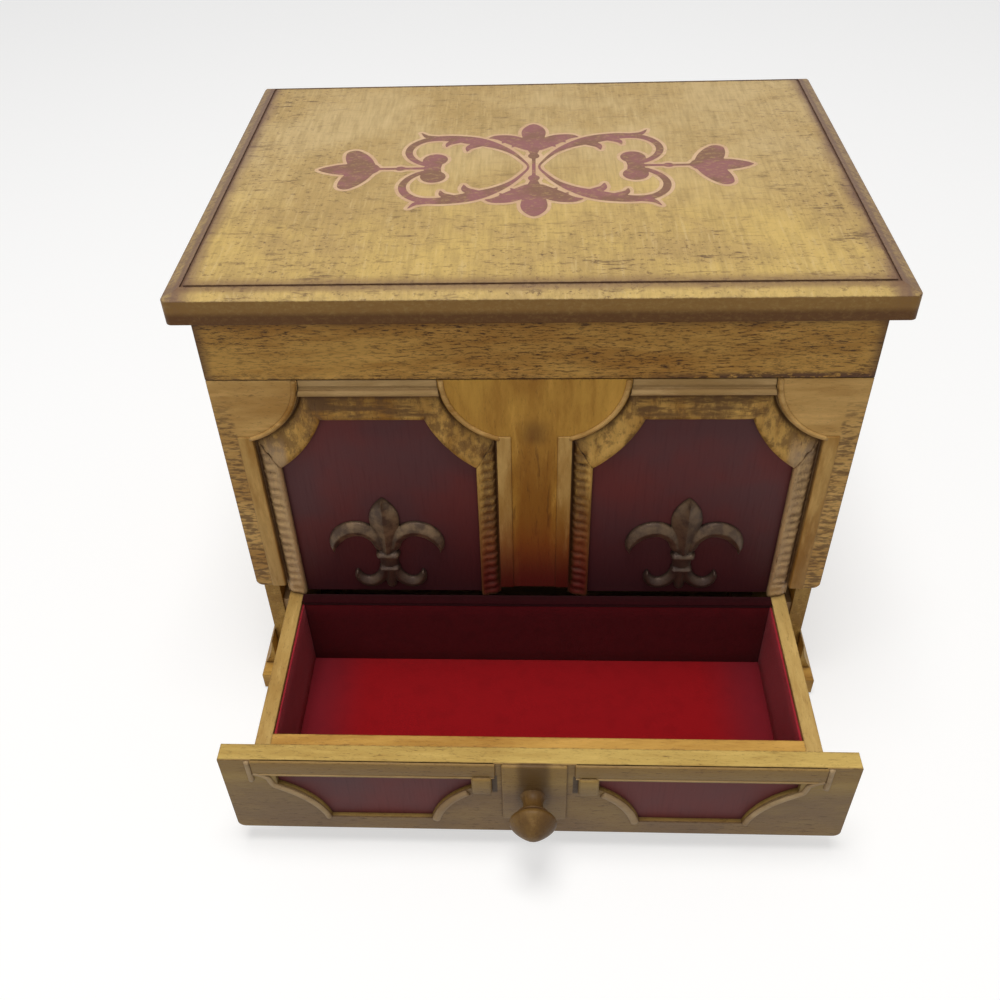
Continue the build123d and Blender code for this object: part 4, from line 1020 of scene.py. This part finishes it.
def drawer_trim():
    """Bands, beads, corner blocks and the middle plate on the drawer front."""
    y = drawer_face_y
    for hand, side in sides:
        for which, (xs, zs, height, corner) in drawer_bands.items():
            band = raised_band(f"drawer_{which}_{hand}", [side * x for x in xs], zs, y, height, corner)
            gild(band, "drawer_face", "drawer")
        ends = sorted(side * x for x in drawer_lip[0])
        path = [((x, y, drawer_lip[1]), (0, 0, 1)) for x in np.linspace(*ends, 24)]
        gild(bead(f"drawer_lip_{hand}", path, 1.5, 0.9), "bead", "drawer")
        line = [(side * x, z) for x, z in drawer_outer_line]
        gild(run_bead(f"drawer_bead_outer_{hand}", line, y, 2.3, 1.1), "dull_bead", "drawer")
        centre = (side * panel_x - side * drawer_arc_offset, drawer_arc_z)
        ends = [
            (centre[0] + side * math.sqrt(drawer_arc_r ** 2 - (z - drawer_arc_z) ** 2), z) for z in drawer_arc_ends_z]
        inner = arc_bead(f"drawer_bead_inner_{hand}", centre, drawer_arc_r - 1.8, *ends, y, 3.4, 1.1)
        gild(inner, "dull_bead", "drawer")
        path = [((side * drawer_post[0], y, z), (side, 0, 0)) for z in np.linspace(*drawer_post[1], 12)]
        gild(bead(f"drawer_post_bead_{hand}", path, 2.4, 1.2), "dull_bead", "drawer")
    gild(raised_band("drawer_middle_plate", *drawer_plate, y, 1.3, 0.8), "drawer_face", "drawer")


def turned(name, centre, profile, steps=64):
    """A shape turned about the Y axis, from (forward, radius) pairs."""
    turn = [2 * math.pi * k / steps for k in range(steps)]
    verts = [
        (centre[0] + radius * math.cos(a), centre[1] - forward, centre[2] + radius * math.sin(a))
        for a in turn for forward, radius in profile
    ]
    n = len(profile)
    starts = [(k * n, (k + 1) % steps * n) for k in range(steps)]
    faces = [(k + j, k + j + 1, m + j + 1, m + j) for k, m in starts for j in range(n - 1)]
    faces.append(tuple(k for k, m in starts))
    piece = mesh_object(name, verts, faces)
    with reworked(piece) as work:
        bmesh.ops.remove_doubles(work, verts=work.verts, dist=1e-6)
    return tidy_normals(piece)


knob_points = [  # forward from the drawer's face, radius
    (0, 5.8), (1.2, 5.4), (2.4, 4.5), (4.2, 4), (6, 4.2), (7.4, 4.9), (8.1, 5.9), (8.7, 6.4), (9.3, 6.1),
    (9.7, 5.5), (10.1, 6.6), (10.8, 8.4), (11.8, 9.2), (12.8, 9.3), (14.2, 8.5), (15.8, 6.9), (17.3, 5),
    (18.5, 3.2), (19.1, 1.7), (19.3, 0),
]
drawer_trim()
knob_profile = [(float(p[0]), max(0.0, float(p[1]))) for p in smooth_run(knob_points, 4)]
gild(turned("turned_knob", (knob_x, drawer_face_y, knob_z), knob_profile), "knob", "drawer", "drawer_knob")


# Felt and padded pieces

felt_cell = 7.0
felt_wave = 0.18
wall_felt_thickness = 1.0


def felt_sheet(name, low, high, open_axis, wave=felt_wave):
    """A thin sheet of felt in a box of space, with rounded edges and a slightly uneven face."""
    work = bmesh.new()
    bmesh.ops.create_cube(work, size=1.0)
    size = [high[k] - low[k] for k in range(3)]
    middle = [(high[k] + low[k]) / 2 for k in range(3)]
    for v in work.verts:
        v.co = Vector([middle[k] + v.co[k] * size[k] for k in range(3)])
    bmesh.ops.bevel(work, geom=work.edges[:], offset=min(size) * 0.35, segments=2, affect="EDGES", profile=0.5)
    for k in range(3):
        if size[k] > 2 * felt_cell:
            count = int(size[k] / felt_cell)
            normal = Vector([1.0 if m == k else 0.0 for m in range(3)])
            for i in range(1, count):
                at = Vector(middle)
                at[k] = low[k] + size[k] * i / count
                geom = work.verts[:] + work.edges[:] + work.faces[:]
                bmesh.ops.bisect_plane(work, geom=geom, plane_co=at, plane_no=normal)
    for v in work.verts:
        outwards = math.copysign(1.0, v.co[open_axis] - middle[open_axis])
        v.co[open_axis] -= wave * abs(noise.noise(v.co * 0.045)) * outwards
    for v in work.verts:
        v.co *= MM
    piece = worked_object(name, work)
    piece.data.shade_smooth()
    return piece


def corners(node):
    """Lowest and highest corner of a node, in millimetres."""
    low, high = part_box(node)
    return [c / MM for c in low], [c / MM for c in high]


def line_walls(prefix, node, body, finish, gap=()):
    """Felt sheets round the inside of the box of space that a lining node holds. gap is left free at the back."""
    (x0, y0, z0), (x1, y1, z1) = corners(node)
    t = wall_felt_thickness
    backs = {"back_left": (x0 + t, gap[0]), "back_right": (gap[1], x1 - t)} if gap else {"back": (x0 + t, x1 - t)}
    sheets = {"left": (x0, x0 + t, y0, y1, 0), "right": (x1 - t, x1, y0, y1, 0)}
    sheets["front"] = (x0 + t, x1 - t, y0, y0 + t, 1)
    sheets.update((side, (*xs, y1 - t, y1, 1)) for side, xs in backs.items())
    for side, (xa, xb, ya, yb, axis) in sheets.items():
        sheet = felt_sheet(f"{prefix}_{side}", (xa, ya, z0), (xb, yb, z1), axis)
        place(sheet, finish.get(side, "wall_felt"), body, "red_felt", node)


stop_rod_x = 56.0
stop_rod_room = 5.7
drawer_felt_top_z = 60.6
# The side walls take the lighter copy of the felt as painted light, the back the darker copy as painted shade.
drawer_walls = {"left": "side_felt", "right": "side_felt", "back": "back_felt"}
line_walls("drawer_wall_felt", "drawer_wall_felt", "drawer", drawer_walls)
low, high = corners("drawer_back")
back_lip = felt_sheet(
    "drawer_back_felt_lip", (low[0] + 0.1, low[1] - 1.0, high[2]), (high[0] - 0.1, high[1] - 0.1, high[2] + 0.3),
    2, wave=0)
place(back_lip, "shaded_felt", "drawer", "red_felt")
back_edge = felt_sheet(
    "drawer_back_felt_edge", (low[0] + 1.0, low[1] - 1.0, drawer_felt_top_z), (high[0] - 1.0, low[1], high[2]),
    1, wave=0)
place(back_edge, "shaded_felt", "drawer", "red_felt")
stop_rod_gap = (stop_rod_x - stop_rod_room, stop_rod_x + stop_rod_room)
line_walls("compartment_felt", "compartment_wall_felt", "case", {}, stop_rod_gap)
for sheet_name, node_name, body, finish, slot, wave in (
    ("drawer_floor_sheet", "drawer_floor_felt", "drawer", "floor_felt", "red_felt", felt_wave),
    ("compartment_floor_sheet", "compartment_floor_felt", "case", "floor_felt", "red_felt", felt_wave),
    ("lid_felt_sheet", "lid_lining", "lid", "wall_felt", "red_felt", felt_wave),
    ("foot_felt_sheet", "base_felt", "case", "foot_felt", "foot_felt", 0.0),
):
    place(felt_sheet(sheet_name, *corners(node_name), 2, wave=wave), finish, body, slot, node_name)


roll_count = 7
roll_pitch = 23.0
roll_w = 19.8
roll_h = 16.8


def ring_roll(name, middle_y, low, high, seed):
    """A padded roll: flat under, crowned above, pinched at its two sewn ends."""
    rings, around = 40, 32
    left, right = low[0] + 0.1, high[0] - 0.1
    verts = []
    for k in range(rings + 1):
        t = k / rings
        x = left + (right - left) * t
        end = min(t, 1 - t) * rings / 5.0
        full = math.sin(math.pi / 2 * min(1.0, end + 0.12)) ** 0.6
        for j in range(around):
            a = 2 * math.pi * j / around
            across = math.copysign(abs(math.cos(a)) ** 0.82, math.cos(a))
            up = math.copysign(abs(math.sin(a)) ** (0.9 if math.sin(a) > 0 else 0.35), math.sin(a))
            pucker = 1 + 0.05 * math.sin(9 * a + seed) * max(0.0, 1 - end)
            swell = 1 + 0.025 * noise.noise(Vector((x * 0.06, across * 2, seed * 3.1)))
            y = middle_y + roll_w / 2 * across * full * pucker * swell
            z = low[2] + roll_h * 0.42 + roll_h * (0.58 if up > 0 else 0.42) * up * (0.55 + 0.45 * full) * swell
            verts.append((x, y, min(max(z, low[2] + 0.02), high[2])))
    return tidy_normals(mesh_object(name, verts, tube_faces(rings + 1, around)))


low, high = corners("ring_rolls")
tray_middle = (low[1] + high[1]) / 2
for i in range(roll_count):
    roll = ring_roll(f"ring_roll_{i + 1}", tray_middle + (i - (roll_count - 1) / 2) * roll_pitch, low, high, i + 1.0)
    place(roll, "wall_felt", "case", "red_felt", "ring_rolls")


# Floor, lights and camera. Places of lamps are in metres

floor_lift = 0.56
world_strength = 0.3


def stage_floor():
    """A pale floor that reads white to the camera and keeps a soft shadow."""
    work = bmesh.new()
    bmesh.ops.create_grid(work, x_segments=8, y_segments=8, size=6.0)
    floor = worked_object("floor", work)
    paint = Paint("floor_white", rough=0.9, specular=0.1)
    paint.wire((1.0, 1.0, 1.0), paint.shader.inputs["Emission Color"])
    paint.wire(paint.seen() * floor_lift, paint.shader.inputs["Emission Strength"])
    dress(floor, paint.finished((0.5, 0.5, 0.5)))


def lamp(name, spot, aim, size, power, tint):
    """A soft square lamp that faces a point."""
    data = bpy.data.lights.new(name, "AREA")
    data.shape = "SQUARE"
    data.size = size
    data.energy = power
    data.color = tint
    light = add_object(name, data)
    light.location = Vector(spot)
    light.rotation_euler = (Vector(aim) - Vector(spot)).to_track_quat("-Z", "Y").to_euler()


def white_world():
    """Even soft light. The camera sees plain white behind the object."""
    world = bpy.data.worlds.new("white_room")
    bpy.context.scene.world = world
    room = Nodes(world)
    level = room.add("ShaderNodeMapRange", {"Value": room.seen(), "To Min": world_strength, "To Max": 1.0})
    back = room.add("ShaderNodeBackground", {"Strength": level.outputs["Result"]})
    room.add("ShaderNodeOutputWorld", {"Surface": back.outputs[0]})


def photo_camera():
    """The photograph's viewpoint, looking down at the front of the box."""
    right = Vector((0.99871346, 0.03770014, -0.03391335))
    down = Vector((-0.00180573, -0.64191748, -0.7667716))
    ahead = Vector((-0.05067697, 0.76584636, -0.64102355))
    data = bpy.data.cameras.new("photo_camera")
    data.lens = 37.17
    data.sensor_width = 36.0
    data.shift_x = 0.02
    data.shift_y = -0.07
    data.clip_start = 0.01
    camera = add_object("photo_camera", data)
    turn = Matrix((right, -down, -ahead)).transposed().to_4x4()
    camera.matrix_world = Matrix.Translation(Vector((-0.775, -401.8, 418.35)) * MM) @ turn
    bpy.context.scene.camera = camera


stage_floor()
white_world()
lamp("key_lamp", (-0.05, -0.24, 1.6), (0, -0.1, 0.12), 0.6, 16.4, (1.0, 0.985, 0.96))
lamp("front_lamp", (-0.6, -1.6, 1.3), (0, -0.05, 0.12), 1.2, 4.0, (1.0, 0.98, 0.96))
photo_camera()
bpy.context.scene.view_settings.view_transform = "Standard"
